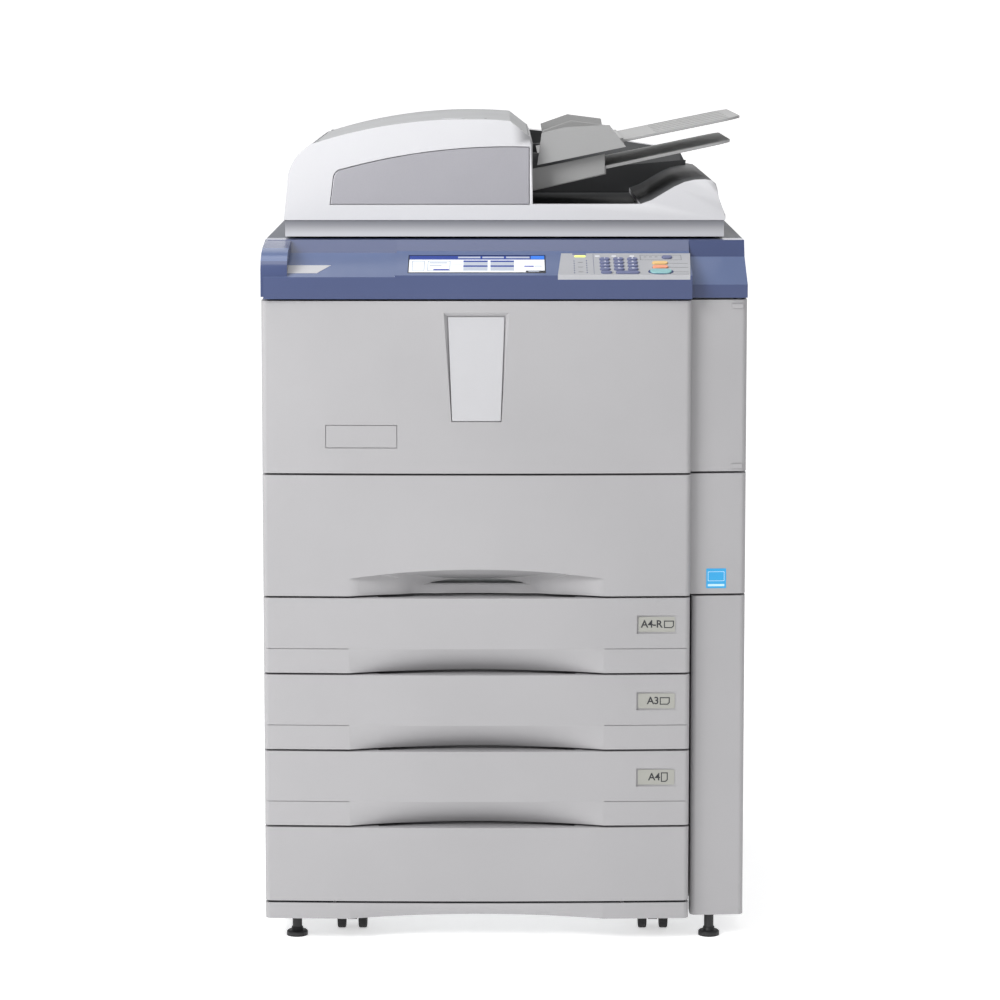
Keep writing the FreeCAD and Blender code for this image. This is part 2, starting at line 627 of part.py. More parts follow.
def foot(x):
    pad = rod_z(FOOT_PAD, 0, 7, x, FOOT_DEPTH)
    pad = pad.makeChamfer(1.5, [e for e in pad.Edges if abs(e.CenterOfMass.z - 7) < 0.01])
    stem_top = PAN_BOTTOM + PAN - FOOT_TRAVEL
    return fuse(pad, rod_z(8.5, 6, 12, x, FOOT_DEPTH), rod_z(FOOT_STEM, 11, stem_top, x, FOOT_DEPTH))


save("base_frame", base_frame())
save("frame_back_plate", frame_back_plate())
for side, x in (("left", CASTER_X[0]), ("right", CASTER_X[1])):
    save(f"caster_fork_{side}", caster_fork(x))
    save(f"caster_wheels_{side}", caster_wheels(x))
for side, x in (("left", FOOT_X[0]), ("right", FOOT_X[1])):
    save(f"foot_{side}", foot(x))
save("rear_wheels", rear_wheels())


# ================================================================ side and rear covers
DOOR_FRONT = 200.0
DOOR_BACK = 620.0
DOOR_BOTTOM = 560.0
DOOR_TOP = 900.0
DOOR_THICK = 10.0
DOOR_GAP = 1.0
DOOR_PIN = 2.5
VENTS = 9
VENT_PITCH = 12.0
INLET_X = -250.0
INLET_Z = 110.0


def left_cover():
    outer = block(X_LEFT, PLATE_LEFT, SIDE_FRONT, FRAME_BACK, SKIRT_BOTTOM, COVER_TOP)
    inner = block(
        X_LEFT + WALL, PLATE_LEFT + 1, SIDE_FRONT + WALL, FRAME_BACK - WALL, SKIRT_BOTTOM + WALL, COVER_TOP - WALL
    )
    cover = outer.cut(inner)
    for i in range(VENTS):
        z = 620 + i * VENT_PITCH
        cover = cover.cut(block(X_LEFT - 1, X_LEFT + WALL + 1, 560, 700, z, z + 5))
    grip = block(X_LEFT, X_LEFT + 13, 300, 420, 440, 490)
    return fuse(cover, grip).cut(block(X_LEFT - 1, X_LEFT + 10, 304, 416, 444, 486))


def right_cover():
    """Right side with the set-back column that it wraps round the front below the lower cover."""
    z0, z1 = SKIRT_BOTTOM, SEAM_TOP - SEAM / 2
    back = COLUMN_BACK
    x0 = X_MAIN_RIGHT + SEAM
    column = column_block(x0, X_RIGHT, 0, back, z0, z1, CORNER)
    column = round_edges(column, [Vector(x0, at_depth(COLUMN_SET + 0.2), (z0 + z1) / 2)], CORNER)
    column = column.cut(column_block(x0 + WALL, X_RIGHT - WALL, WALL, back + 1, z0 + WALL, z1 - WALL, CORNER - WALL))
    side = block(X_RIGHT - 14, X_RIGHT, SIDE_FRONT, FRAME_BACK, SKIRT_BOTTOM, COVER_TOP)
    side = side.cut(block(
        X_RIGHT - 20, X_RIGHT - WALL, SIDE_FRONT - 1, FRAME_BACK - WALL, SKIRT_BOTTOM + WALL, COVER_TOP - WALL
    ))
    side = side.cut(block(X_RIGHT - 20, X_RIGHT - WALL, SIDE_FRONT - 1, SIDE_FRONT + 12, z1, COVER_TOP + 1))
    shelf = block(X_MAIN_RIGHT + 40, X_RIGHT - 2, back - 4, FRAME_BACK - 20, PAN_BOTTOM + PAN, PAN_BOTTOM + PAN + 2)
    post = block(POST_X, POST_X + 10, POST_DEPTH - 1, POST_DEPTH + 15, PAN_BOTTOM, LIP_BOTTOM)
    cover = fuse(column, side, shelf.cut(post))
    cover = cover.cut(rod_z(FOOT_PAD - 3, z0 - 1, z0 + WALL + 1, FOOT_X[1], FOOT_DEPTH))
    cover = cover.cut(block(X_RIGHT - 20, X_RIGHT + 1, DOOR_FRONT, DOOR_BACK, DOOR_BOTTOM, DOOR_TOP))
    for z in (DOOR_BOTTOM - 10, DOOR_TOP):
        cover = fuse(cover, block(X_RIGHT - 11, X_RIGHT - 1, DOOR_BACK - 15, DOOR_BACK + 8, z, z + 10))
    axis_x, axis_depth = X_RIGHT - DOOR_THICK / 2, DOOR_BACK - DOOR_GAP - DOOR_THICK / 2
    pin = rod_z(DOOR_PIN + RUN_GAP, DOOR_BOTTOM - 9, DOOR_TOP + 9, axis_x, axis_depth)
    return cover.cut(pin)


def side_door():
    """Jam door with the folded bypass tray lying in its face."""
    z0, z1 = DOOR_BOTTOM + DOOR_GAP, DOOR_TOP - DOOR_GAP
    axis_x, axis_depth = X_RIGHT - DOOR_THICK / 2, DOOR_BACK - DOOR_GAP - DOOR_THICK / 2
    slab = block(X_RIGHT - DOOR_THICK, X_RIGHT, DOOR_FRONT + DOOR_GAP, axis_depth, z0, z1)
    slab = fuse(slab, rod_z(DOOR_THICK / 2, z0, z1, axis_x, axis_depth))
    hollow = block(X_RIGHT - DOOR_THICK - 1, X_RIGHT - 6, DOOR_FRONT + 6, axis_depth - 12, z0 + 6, z1 - 6)
    tray_space = block(X_RIGHT - 3, X_RIGHT + 1, DOOR_FRONT + 40, DOOR_BACK - 50, z0 + 40, z1 - 60)
    finger = block(X_RIGHT - 5, X_RIGHT + 1, DOOR_FRONT + 150, DOOR_FRONT + 240, z1 - 60.5, z1 - 48)
    door = fuse(
        slab.cut(hollow).cut(tray_space).cut(finger),
        rod_z(DOOR_PIN, z0 - 7, z1 + 7, axis_x, axis_depth),
    )
    tray = block(X_RIGHT - 3, X_RIGHT - 0.3, DOOR_FRONT + 41, DOOR_BACK - 51, z0 + 41, z1 - 61)
    return Part.makeCompound([door, tray])


def rear_cover():
    z0, z1 = SKIRT_BOTTOM, COVER_TOP
    d0, d1 = FRAME_BACK + SEAM, DEPTH
    outer = block(X_LEFT, X_RIGHT, d0, d1, z0, z1)
    outer = round_edges(outer, [Vector(x, at_depth(d1), (z0 + z1) / 2) for x in (X_LEFT, X_RIGHT)], CORNER)
    cover = outer.cut(block(X_LEFT + WALL, X_RIGHT - WALL, d0 - 1, d1 - WALL, z0 + WALL, z1 - WALL))
    for x in (-200.0, 200.0):
        cover = fuse(cover, block(x, x + RIB_WIDTH, FRAME_BACK, d1 - 1, z0 + 40, z1 - 40))
    for column in (-120.0, 60.0):
        for i in range(VENTS):
            z = 640 + i * VENT_PITCH
            cover = cover.cut(block(column, column + 110, d1 - WALL - 1, d1 + 1, z, z + 5))
    window = block(INLET_X - 25, INLET_X + 25, d1 - 20, d1 + 1, INLET_Z - 15, INLET_Z + 15)
    inlet = block(INLET_X - 25, INLET_X + 25, d1 - 20, d1 - 1, INLET_Z - 15, INLET_Z + 15)
    inlet = inlet.cut(block(INLET_X - 12, INLET_X + 12, d1 - 15, d1 + 1, INLET_Z - 8, INLET_Z + 8))
    prongs = [
        block(INLET_X + x - 1, INLET_X + x + 1, d1 - 15.5, d1 - 3, INLET_Z + z - 2, INLET_Z + z + 2)
        for x, z in ((-7, -2), (0, 2), (7, -2))
    ]
    return Part.makeCompound([cover.cut(window), fuse(inlet, *prongs)])


save("left_cover", left_cover())
save("right_cover", right_cover())
save("side_door", side_door())
save("rear_cover", rear_cover())


# ================================================================ behind the front cover
BOTTLE_X = -235.0
BOTTLE_Z = 850.0
BOTTLE_RADIUS = 45.0
BOTTLE_STUB = 10.0
DRUM_X = -40.0
DRUM_Z = 700.0
DRUM_RADIUS = 50.0
ENGINE_FRONT = FRAME_FRONT + 22.0
ENGINE_BACK = 640.0
ENGINE_LEFT = PLATE_LEFT + 14.0
ENGINE_RIGHT = PLATE_RIGHT - 14.0


def inner_cover():
    z0, z1 = LOWER_COVER_TOP + 2, LIP_BOTTOM - 4
    panel = block(PLATE_LEFT, PLATE_RIGHT + SHEET, FRAME_FRONT - 3.5, FRAME_FRONT, z0, z1)
    lever = block(-150, -60, FRAME_FRONT - 16, FRAME_FRONT - 3, 820, 838)
    knobs = [rod_y(18, FRAME_FRONT - 18, FRAME_FRONT - 3, x, 740) for x in (-150.0, 120.0)]
    return fuse(panel, lever, *knobs)


def print_engine():
    """Drum, transfer belt unit, laser unit and fuser between two sheet steel end plates."""
    floor = ENGINE_FLOOR + SHEET
    plates = []
    holes = [
        (BOTTLE_X, BOTTLE_Z, BOTTLE_STUB + RUN_GAP), (DRUM_X, DRUM_Z, 8.0), (150.0, 640.0, 8.0),
        (150.0, 700.6, 8.0), (-110.0, 610.0, 8.0), (50.0, 610.0, 8.0),
    ]
    for depth in (ENGINE_FRONT, ENGINE_BACK):
        plate = block(ENGINE_LEFT, ENGINE_RIGHT, depth, depth + SHEET, floor, LIP_BOTTOM - 20)
        for x, z, radius in holes:
            plate = plate.cut(rod_y(radius, depth - 1, depth + SHEET + 1, x, z))
        plates.append(plate)
    d0, d1 = ENGINE_FRONT + SHEET, ENGINE_BACK
    solids = [
        fuse(plates[0], plates[1], block(ENGINE_LEFT, ENGINE_RIGHT, ENGINE_FRONT, d1 + SHEET, floor, floor + 2)),
        fuse(rod_y(DRUM_RADIUS, d0 + 4, d1 - 4, DRUM_X, DRUM_Z), rod_y(8, d0 - SHEET, d1 + SHEET, DRUM_X, DRUM_Z)),
        block(-170, 200, d0, d1, 820, 890),
    ]
    for x, z in ((150.0, 640.0), (150.0, 700.6)):
        solids.append(fuse(rod_y(30, d0 + 4, d1 - 4, x, z), rod_y(8, d0 - SHEET, d1 + SHEET, x, z)))
    rollers = [(-110.0, 610.0), (50.0, 610.0)]
    belt = block(-110, 50, d0 + 6, d1 - 6, 594, 626)
    for x, z in rollers:
        belt = fuse(belt, rod_y(16, d0 + 6, d1 - 6, x, z), rod_y(8, d0 - SHEET, d1 + SHEET, x, z))
    solids.append(belt)
    return Part.makeCompound(solids)


def toner_cartridge():
    d0, d1 = ENGINE_FRONT + SHEET, ENGINE_BACK
    bottle = rod_y(BOTTLE_RADIUS, d0 + 4, d1 - 4, BOTTLE_X, BOTTLE_Z)
    return fuse(bottle, rod_y(BOTTLE_STUB, d0 - SHEET, d1 + SHEET, BOTTLE_X, BOTTLE_Z))


save("inner_cover", inner_cover())
save("print_engine", print_engine())
save("toner_cartridge", toner_cartridge())


# ================================================================ scanner
SCANNER_FRONT = 150.0
SCANNER_BACK = 770.0
GLASS = 4.0
GLASS_LEFT = -215.0
GLASS_RIGHT = 225.0
GLASS_FRONT = 200.0
GLASS_BACK = 505.0
SLIT_LEFT = -265.0
SLIT_RIGHT = -240.0
CARRIAGE_X = -215.0
CARRIAGE_RAIL = 5.0
LID_AXIS_DEPTH = 722.0
LID_AXIS_Z = SCANNER_TOP + 13.0
LID_PIN = 5.0
LID_LUG = 8.0
LID_X = (-230.0, 230.0)


def scanner_housing():
    x0, x1 = X_LEFT, X_RIGHT
    outer = block(x0, x1, SCANNER_FRONT, SCANNER_BACK, LIP_BOTTOM, SCANNER_TOP)
    outer = round_edges(
        outer, [Vector(x, at_depth(SCANNER_BACK), (LIP_BOTTOM + SCANNER_TOP) / 2) for x in (x0, x1)], CORNER
    )
    inner = block(x0 + WALL, x1 - WALL, SCANNER_FRONT + WALL, SCANNER_BACK - WALL, LIP_BOTTOM + WALL,
                  SCANNER_TOP - WALL)
    rims = [
        block(a - 6, b + 6, GLASS_FRONT - 6, GLASS_BACK + 6, SCANNER_TOP - 8, SCANNER_TOP - 1)
        for a, b in ((GLASS_LEFT, GLASS_RIGHT), (SLIT_LEFT, SLIT_RIGHT))
    ]
    housing = fuse(outer.cut(inner), *rims)
    for a, b in ((GLASS_LEFT, GLASS_RIGHT), (SLIT_LEFT, SLIT_RIGHT)):
        housing = housing.cut(block(a, b, GLASS_FRONT, GLASS_BACK, SCANNER_TOP - GLASS, SCANNER_TOP + 1))
        housing = housing.cut(block(a + 4, b - 4, GLASS_FRONT + 4, GLASS_BACK - 4, SCANNER_TOP - 9, SCANNER_TOP))
    for depth in (GLASS_FRONT + 12, GLASS_BACK - 12):
        housing = fuse(housing, rod_x(CARRIAGE_RAIL, x0 + 1, x1 - 1, depth, LIP_BOTTOM + 30))
    for x in LID_X:
        for side in (-1, 1):
            near = x + side * (12 + SEAT_GAP)
            ear = block(min(near, near + side * 6), max(near, near + side * 6), LID_AXIS_DEPTH - 12,
                        LID_AXIS_DEPTH + 12, SCANNER_TOP - 1, LID_AXIS_Z + LID_LUG)
            housing = fuse(housing, ear)
        housing = fuse(housing, rod_x(LID_PIN, x - 15, x + 15, LID_AXIS_DEPTH, LID_AXIS_Z))
    return housing


def platen_glass():
    sheets = [
        block(a, b, GLASS_FRONT, GLASS_BACK, SCANNER_TOP - GLASS, SCANNER_TOP)
        for a, b in ((GLASS_LEFT, GLASS_RIGHT), (SLIT_LEFT, SLIT_RIGHT))
    ]
    return Part.makeCompound(sheets)


def scan_carriage():
    """Lamp and mirror carriage on its two rods under the glass."""
    z = LIP_BOTTOM + 30
    carriage = block(CARRIAGE_X, CARRIAGE_X + 34, GLASS_FRONT, GLASS_BACK, z - 12, z + 18)
    for depth in (GLASS_FRONT + 12, GLASS_BACK - 12):
        carriage = carriage.cut(rod_x(CARRIAGE_RAIL + RUN_GAP, CARRIAGE_X - 1, CARRIAGE_X + 35, depth, z))
    return carriage


save("scanner_housing", scanner_housing())
save("platen_glass", platen_glass())
save("scan_carriage", scan_carriage())


# ================================================================ control panel
RIGHT_LIP_TOP = 959.0        # the panel's right end lies lower and further back
SLOPE = math.atan2(PANEL_RISE, PANEL_RUN)


def on_slope(shape):
    """Lays a shape drawn flat (x, up the slope, out of the slope) on the panel's sloping face."""
    moved = shape.copy()
    moved.rotate(Vector(0, 0, 0), Vector(1, 0, 0), math.degrees(SLOPE))
    moved.translate(Vector(0, at_depth(0), LIP_TOP))
    return moved


def slope_block(x0, x1, u0, u1, n0, n1):
    return on_slope(Part.makeBox(x1 - x0, u1 - u0, n1 - n0, Vector(x0, u0, n0)))


def panel_profile(front, lip, drop, inset):
    top = SCANNER_TOP - inset
    slope_top = LIP_TOP + PANEL_RISE - drop
    return [
        (front + inset, LIP_BOTTOM + inset), (front + inset, lip - inset * 0.75),
        (PANEL_RUN + inset * 0.4, slope_top - inset), (PANEL_RUN + RISER_RUN + inset * 0.4, top),
        (SCANNER_FRONT + (1 if inset else 0), top), (SCANNER_FRONT + (1 if inset else 0), LIP_BOTTOM + inset),
    ]


def shoulder_profile(front):
    return [
        (front + 2, LIP_BOTTOM + WALL), (front + 2, LIP_TOP + 8), (front + 8, LIP_TOP + 20),
        (front + 24, LIP_TOP + 30), (front + 50, LIP_TOP + 36), (PANEL_RUN + RISER_RUN + 4, SCANNER_TOP),
        (SCANNER_FRONT, SCANNER_TOP), (SCANNER_FRONT, LIP_BOTTOM + WALL),
    ]


def key_plate_outline(n0, n1):
    start = KEY_PLATE_PROUD * math.tan(SLOPE)
    points = [
        Vector(KEY_PLATE_LEFT, start, n0),
        Vector(X_MAIN_RIGHT - 3, start, n0),
        Vector(X_MAIN_RIGHT + 1, KEY_PLATE_RUN, n0),
        Vector(KEY_PLATE_LEFT + KEY_PLATE_SLANT, KEY_PLATE_RUN, n0),
    ]
    return on_slope(prism(points, Vector(0, 0, n1 - n0)))


def screen_block(margin, n0, n1):
    half = SCREEN_WIDTH / 2 + margin
    return slope_block(
        X_SCREEN - half, X_SCREEN + half, SCREEN_UP - SCREEN_HEIGHT / 2 - margin,
        SCREEN_UP + SCREEN_HEIGHT / 2 + margin, n0, n1
    )


def panel_housing():
    outer = [
        profile_x(panel_profile(0, LIP_TOP - LEFT_PANEL_DROP, LEFT_PANEL_DROP, 0), X_LEFT + 4, X_PANEL_STEP),
        profile_x(panel_profile(0, LIP_TOP, 0, 0), X_PANEL_STEP, X_MAIN_RIGHT),
        profile_x(panel_profile(COLUMN_SET, RIGHT_LIP_TOP, 8, 0), X_MAIN_RIGHT, X_RIGHT),
        profile_x(shoulder_profile(0), X_LEFT, X_LEFT + SHOULDER),
    ]
    inner = [
        profile_x(panel_profile(0, LIP_TOP - LEFT_PANEL_DROP, LEFT_PANEL_DROP, WALL), X_LEFT + 4 + WALL,
                  X_MAIN_RIGHT - WALL),
        profile_x(panel_profile(COLUMN_SET, RIGHT_LIP_TOP, 8, WALL), X_MAIN_RIGHT - WALL - 1, X_RIGHT - WALL),
    ]
    housing = fuse(*outer).cut(fuse(*inner))
    housing = housing.cut(key_plate_outline(-12, 4))
    housing = housing.cut(block(KEY_PLATE_LEFT, X_MAIN_RIGHT - 3, -1, 7, LIP_TOP - 6, LIP_TOP + 3))
    housing = housing.cut(screen_block(0, -12, 4))
    return housing


def key_nose():
    """Front edge of the key plate, which hangs over the lip."""
    return block(KEY_PLATE_LEFT, X_MAIN_RIGHT - 3, 0, 2.8, LIP_TOP - 6, LIP_TOP + 0.8)


def oval(width, height, n0, n1):
    """Flat oval key body, drawn round the origin."""
    radius = min(width, height) / 2
    body = Part.makeBox(width - 2 * radius, height, n1 - n0, Vector(-width / 2 + radius, -height / 2, n0))
    ends = [
        Part.makeCylinder(radius, n1 - n0, Vector(side * (width / 2 - radius), 0, n0)) for side in (-1, 1)
    ]
    return body.multiFuse(ends).removeSplitter()


KEYS = {"key_clear_wide": (176.0, 8.0, 34.0, 8.5)}
DIGIT_NAMES = (("key_1", "key_2", "key_3"), ("key_4", "key_5", "key_6"), ("key_7", "key_8", "key_9"),
               ("key_star", "key_0", "key_hash"))
for row, names in enumerate(DIGIT_NAMES):
    for column, name in enumerate(names):
        up = 8.0 + (4 - row) * DIGIT_PITCH_U
        KEYS[name] = (164.2 + (column - 1) * DIGIT_PITCH_X, up, DIGIT_WIDTH, DIGIT_HEIGHT)
KEYS["key_start"] = (223.5, 12.0, 31.0, 17.0)
KEYS["key_stop"] = (223.5, 30.0, 22.5, 10.0)
KEYS["key_function_clear"] = (223.5, 46.5, 22.5, 10.0)
KEYS["key_power"] = (234.5, 70.0, 15.0, 10.5)


def key_plate():
    top = KEY_PLATE_PROUD
    plate = fuse(key_plate_outline(top - KEY_PLATE_THICK, top), key_nose())
    for x, up, width, height in KEYS.values():
        hole = oval(width + 2 * KEY_GAP, height + 2 * KEY_GAP, -20, 20)
        hole.translate(Vector(x, up, 0))
        plate = plate.cut(on_slope(hole))
    return plate


def key(x, up, width, height):
    under = KEY_PLATE_PROUD - KEY_PLATE_THICK - SEAT_GAP
    cap = oval(width, height, under - 1, KEY_PLATE_PROUD + KEY_PROUD)
    rim = [e for e in cap.Edges if abs(e.CenterOfMass.z - KEY_PLATE_PROUD - KEY_PROUD) < 0.01]
    cap = cap.makeFillet(0.8, rim)
    flange = oval(width + 2.6, height + 2.6, under - KEY_FLANGE, under)
    shape = fuse(cap, flange)
    shape.translate(Vector(x, up, 0))
    return on_slope(shape)


save("panel_housing", panel_housing())
save("key_panel", key_plate())
save("display_screen", screen_block(0, -4.0, -0.8))
for name, values in KEYS.items():
    save(name, key(*values))


# ================================================================ document feeder
def feeder_point(x, depth, z):
    return Vector(x, at_depth(depth), z)


def dome_face(inset, depth):
    """Outline of the feeder's left part, seen from the front."""
    h = inset

    def at(x, z):
        return feeder_point(x, depth, z)

    start = at(-FEEDER_HALF + h, BASE_TOP)
    a = at(-318 + h, 1096)
    corner = at(-309 + h * 0.8, 1131 - h * 0.5)
    b = at(-281 + h * 0.5, 1155.5 - h * 0.9)
    crest = at(-160, 1183.5 - h)
    c = at(8 - h * 0.3, 1188.5 - h)
    d = at(37 - h, 1166 - h * 0.3)
    e = at(HOUSING_RIGHT - h, 1157)
    f = at(HOUSING_RIGHT - h, BASE_TOP)
    return Part.Face(Part.Wire([
        Part.makeLine(start, a), Part.Arc(a, corner, b).toShape(), Part.Arc(b, crest, c).toShape(),
        Part.makeLine(c, d), Part.makeLine(d, e), Part.makeLine(e, f), Part.makeLine(f, start),
    ]))


def leaning_cut(inset):
    """What the leaning front takes off the feeder."""
    d0 = FEEDER_FRONT + inset
    return profile_x([
        (d0 - 60, BASE_BOTTOM - 5), (d0, BASE_TOP), (d0 + FEEDER_LEAN, 1190), (d0 + FEEDER_LEAN + 2, 1230),
        (d0 - 60, 1230),
    ], -400, 400)


def dome(inset, back):
    solid = dome_face(inset, FEEDER_FRONT).extrude(Vector(0, back - FEEDER_FRONT, 0))
    return solid.cut(leaning_cut(inset))


COVER_LEFT = -280.0          # opening top cover of the feeder
COVER_RIGHT = 36.0
COVER_GAP = 0.8
COVER_FRONT = 166.0
COVER_BACK = 640.0
COVER_FLOOR = 1138.0
COVER_PIN = 3.0
COVER_SLOT = 3.0             # room at the left for the cover's edge to turn
PIVOT_X = COVER_LEFT + 10.0
PIVOT_Z = 1146.0
LUG_STEM_LEFT = 4.2          # the lug's stem stands clear of the cover's edge as it turns under the pin
LUG_STEM_RIGHT = 12.0
INSERT_BOTTOM = 1067.0
INSERT_DEEP = 4.0
GROOVE = 1.2
HINGE_LINE_X = 54.0          # tilting line of the document tray
HINGE_LINE_Z = 1134.0
TRAY_PIN = 3.0
TRAY_THICK = 9.0
DECK_FLOOR = 1060.0


def insert_outline(gap, depth):
    g = gap

    def at(x, z):
        return feeder_point(x, depth, z)

    left_low, left_high = at(-256 + g, INSERT_BOTTOM + g), at(-251 + g, 1108 - g)
    corner, a = at(-247 + g, 1115.5 - g), at(-238 + g, 1119.5 - g)
    middle, b = at(-110, 1144.8 - g), at(37 - g, 1151.5 - g)
    low = at(37 - g, INSERT_BOTTOM + g)
    return Part.Face(Part.Wire([
        Part.makeLine(left_low, left_high), Part.Arc(left_high, corner, a).toShape(),
        Part.Arc(a, middle, b).toShape(), Part.makeLine(b, low), Part.makeLine(low, left_low),
    ]))


def feeder_housing():
    shell = dome(0, HOUSING_BACK)
    hollow = dome(LID_WALL, HOUSING_BACK - LID_WALL)
    shell = shell.cut(hollow)
    pocket = insert_outline(0, 100).extrude(Vector(0, 90, 0))
    pocket_zone = dome(0, HOUSING_BACK).cut(dome(INSERT_DEEP, HOUSING_BACK)).common(pocket)
    ledge = dome(INSERT_DEEP, HOUSING_BACK).cut(dome(INSERT_DEEP + 3, HOUSING_BACK)).common(
        insert_outline(-6, 100).extrude(Vector(0, 90, 0))
    )
    shell = fuse(shell, ledge).cut(pocket_zone)
    shell = shell.cut(block(
        COVER_LEFT - COVER_SLOT, COVER_RIGHT, COVER_FRONT, COVER_BACK, COVER_FLOOR, 1250
    ))
    right = profile_y([
        (HOUSING_RIGHT - 3, BASE_TOP), (HOUSING_RIGHT - 3, BAND_TOP), *[(x, HUMP_TOP - drop) for x, drop in HUMP_RISE],
        *[(FEEDER_HALF - inset, HUMP_TOP - drop) for inset, drop in HUMP_FALL], (FEEDER_HALF, BASE_TOP),
    ], FEEDER_FRONT, HOUSING_BACK).cut(leaning_cut(0))
    right = right.cut(block(HOUSING_RIGHT, 199, FEEDER_FRONT + 16, HOUSING_BACK - 55, DECK_FLOOR, 1200))
    hollow_points = [(x + 2, HUMP_TOP - drop - HUMP_WALL) for x, drop in HUMP_RISE[1:]]
    hollow_points += [(FEEDER_HALF - inset - HUMP_WALL, HUMP_TOP - drop - HUMP_WALL) for inset, drop in HUMP_FALL]
    right = right.cut(profile_y([
        (HOUSING_RIGHT, BASE_TOP - 1), (HOUSING_RIGHT, DECK_FLOOR - 3), (202, DECK_FLOOR - 3), *hollow_points,
        (FEEDER_HALF - HUMP_WALL, BASE_TOP - 1),
    ], FEEDER_FRONT + 6, HOUSING_BACK - 4).cut(leaning_cut(HUMP_WALL)))
    rear_wall = profile_y([
        (HOUSING_RIGHT - 2, DECK_FLOOR), (HOUSING_RIGHT - 2, 1160), (150, 1148), (278, 1128), (286, 1112),
        (290, 1090),
    ], HOUSING_BACK - 56, HOUSING_BACK)
    floor = block(-FEEDER_HALF + 3, HOUSING_RIGHT, FEEDER_FRONT + 10, HOUSING_BACK - 3, BASE_TOP, BASE_TOP + 3)
    guide = profile_y([
        (-300, BASE_TOP + 2), (-300, 1090), (-270, 1118), (-230, 1128), (20, 1128), (20, BASE_TOP + 2),
    ], COVER_FRONT + 14, COVER_BACK - 20)
    guide = guide.cut(profile_y([
        (-296, BASE_TOP + 3), (-296, 1088), (-268, 1114), (-230, 1124), (16, 1124), (16, BASE_TOP + 3),
    ], COVER_FRONT + 18, COVER_BACK - 24))
    housing = fuse(shell, right, rear_wall, floor, guide)
    lugs = []
    for depth in (TRAY_FRONT - 9, TRAY_BACK + 1):
        lugs.append(block(HOUSING_RIGHT - 2, HINGE_LINE_X + 6, depth, depth + 8, HINGE_LINE_Z - 7, HINGE_LINE_Z + 7))
    for depth in (COVER_FRONT + 4.2, COVER_BACK - 12.2):
        lugs.append(block(PIVOT_X - 5, PIVOT_X + LUG_STEM_RIGHT, depth, depth + 8, PIVOT_Z - 3, PIVOT_Z + 5))
        lugs.append(block(
            PIVOT_X + LUG_STEM_LEFT, PIVOT_X + LUG_STEM_RIGHT, depth, depth + 8, BASE_TOP + 1, PIVOT_Z + 5
        ))
    housing = fuse(housing, *lugs)
    tray_pin = rod_y(TRAY_PIN + RUN_GAP, TRAY_FRONT - 12, TRAY_BACK + 12, HINGE_LINE_X, HINGE_LINE_Z)
    cover_pin = rod_y(COVER_PIN + RUN_GAP, COVER_FRONT + 1, COVER_BACK - 1, PIVOT_X, PIVOT_Z)
    return housing.cut(tray_pin).cut(cover_pin)


def feeder_cover():
    """Opening top cover, on a long pin at its left end."""
    gap = COVER_GAP
    window = block(
        COVER_LEFT + gap, COVER_RIGHT - gap, COVER_FRONT + gap, COVER_BACK - gap, COVER_FLOOR + gap, 1250
    )
    skin = dome(0, HOUSING_BACK).common(window)
    hollow = dome(LID_WALL, HOUSING_BACK).common(block(
        COVER_LEFT + gap + LID_WALL, COVER_RIGHT - gap - LID_WALL, COVER_FRONT + gap + LID_WALL,
        COVER_BACK - gap - LID_WALL, COVER_FLOOR - 5, 1250
    ))
    cover = skin.cut(hollow)
    tabs = [
        block(PIVOT_X - 6, PIVOT_X + 6, depth, depth + 6, PIVOT_Z - 4, 1159)
        for depth in (COVER_FRONT + 13, COVER_BACK - 19)
    ]
    pin = rod_y(COVER_PIN, COVER_FRONT + 3, COVER_BACK - 3, PIVOT_X, PIVOT_Z)
    return fuse(cover, pin, *tabs)


def feeder_front_panel():
    solid = dome(0.6, HOUSING_BACK).cut(dome(INSERT_DEEP, HOUSING_BACK))
    return solid.common(insert_outline(GROOVE, 100).extrude(Vector(0, 90, 0)))


def platen_cover():
    """Lower frame of the feeder with the white mat that presses on the glass."""
    mat_top = BASE_BOTTOM + 2.0
    outer = block(-FEEDER_HALF + 2, FEEDER_HALF - 2, FEEDER_FRONT + 2, FEEDER_BACK, mat_top, BASE_TOP)
    cover = outer.cut(block(
        -FEEDER_HALF + 5, FEEDER_HALF - 5, FEEDER_FRONT + 5, FEEDER_BACK - 3, mat_top + 3, BASE_TOP + 1
    ))
    for x in LID_X:
        lug = fuse(
            block(x - 12, x + 12, FEEDER_BACK - 4, LID_AXIS_DEPTH, mat_top + 3, LID_AXIS_Z + LID_LUG),
            rod_x(LID_LUG, x - 12, x + 12, LID_AXIS_DEPTH, LID_AXIS_Z),
        )
        cover = fuse(cover, lug).cut(rod_x(LID_PIN + RUN_GAP, x - 13, x + 13, LID_AXIS_DEPTH, LID_AXIS_Z))
    mat = block(GLASS_LEFT - 5, GLASS_RIGHT + 5, GLASS_FRONT - 5, GLASS_BACK + 5, BASE_BOTTOM, mat_top)
    return Part.makeCompound([cover, mat])


def tilted(shape):
    """Turns a shape drawn flat so that it rises to the right from the tray's tilting line."""
    moved = shape.copy()
    moved.rotate(feeder_point(HINGE_LINE_X, 0, HINGE_LINE_Z), Vector(0, -1, 0), TRAY_ANGLE)
    return moved


TRAY_END = 178.0
EXTENSION_START = 108.0
EXTENSION_END = 354.0
EXTENSION_THICK = 4.0
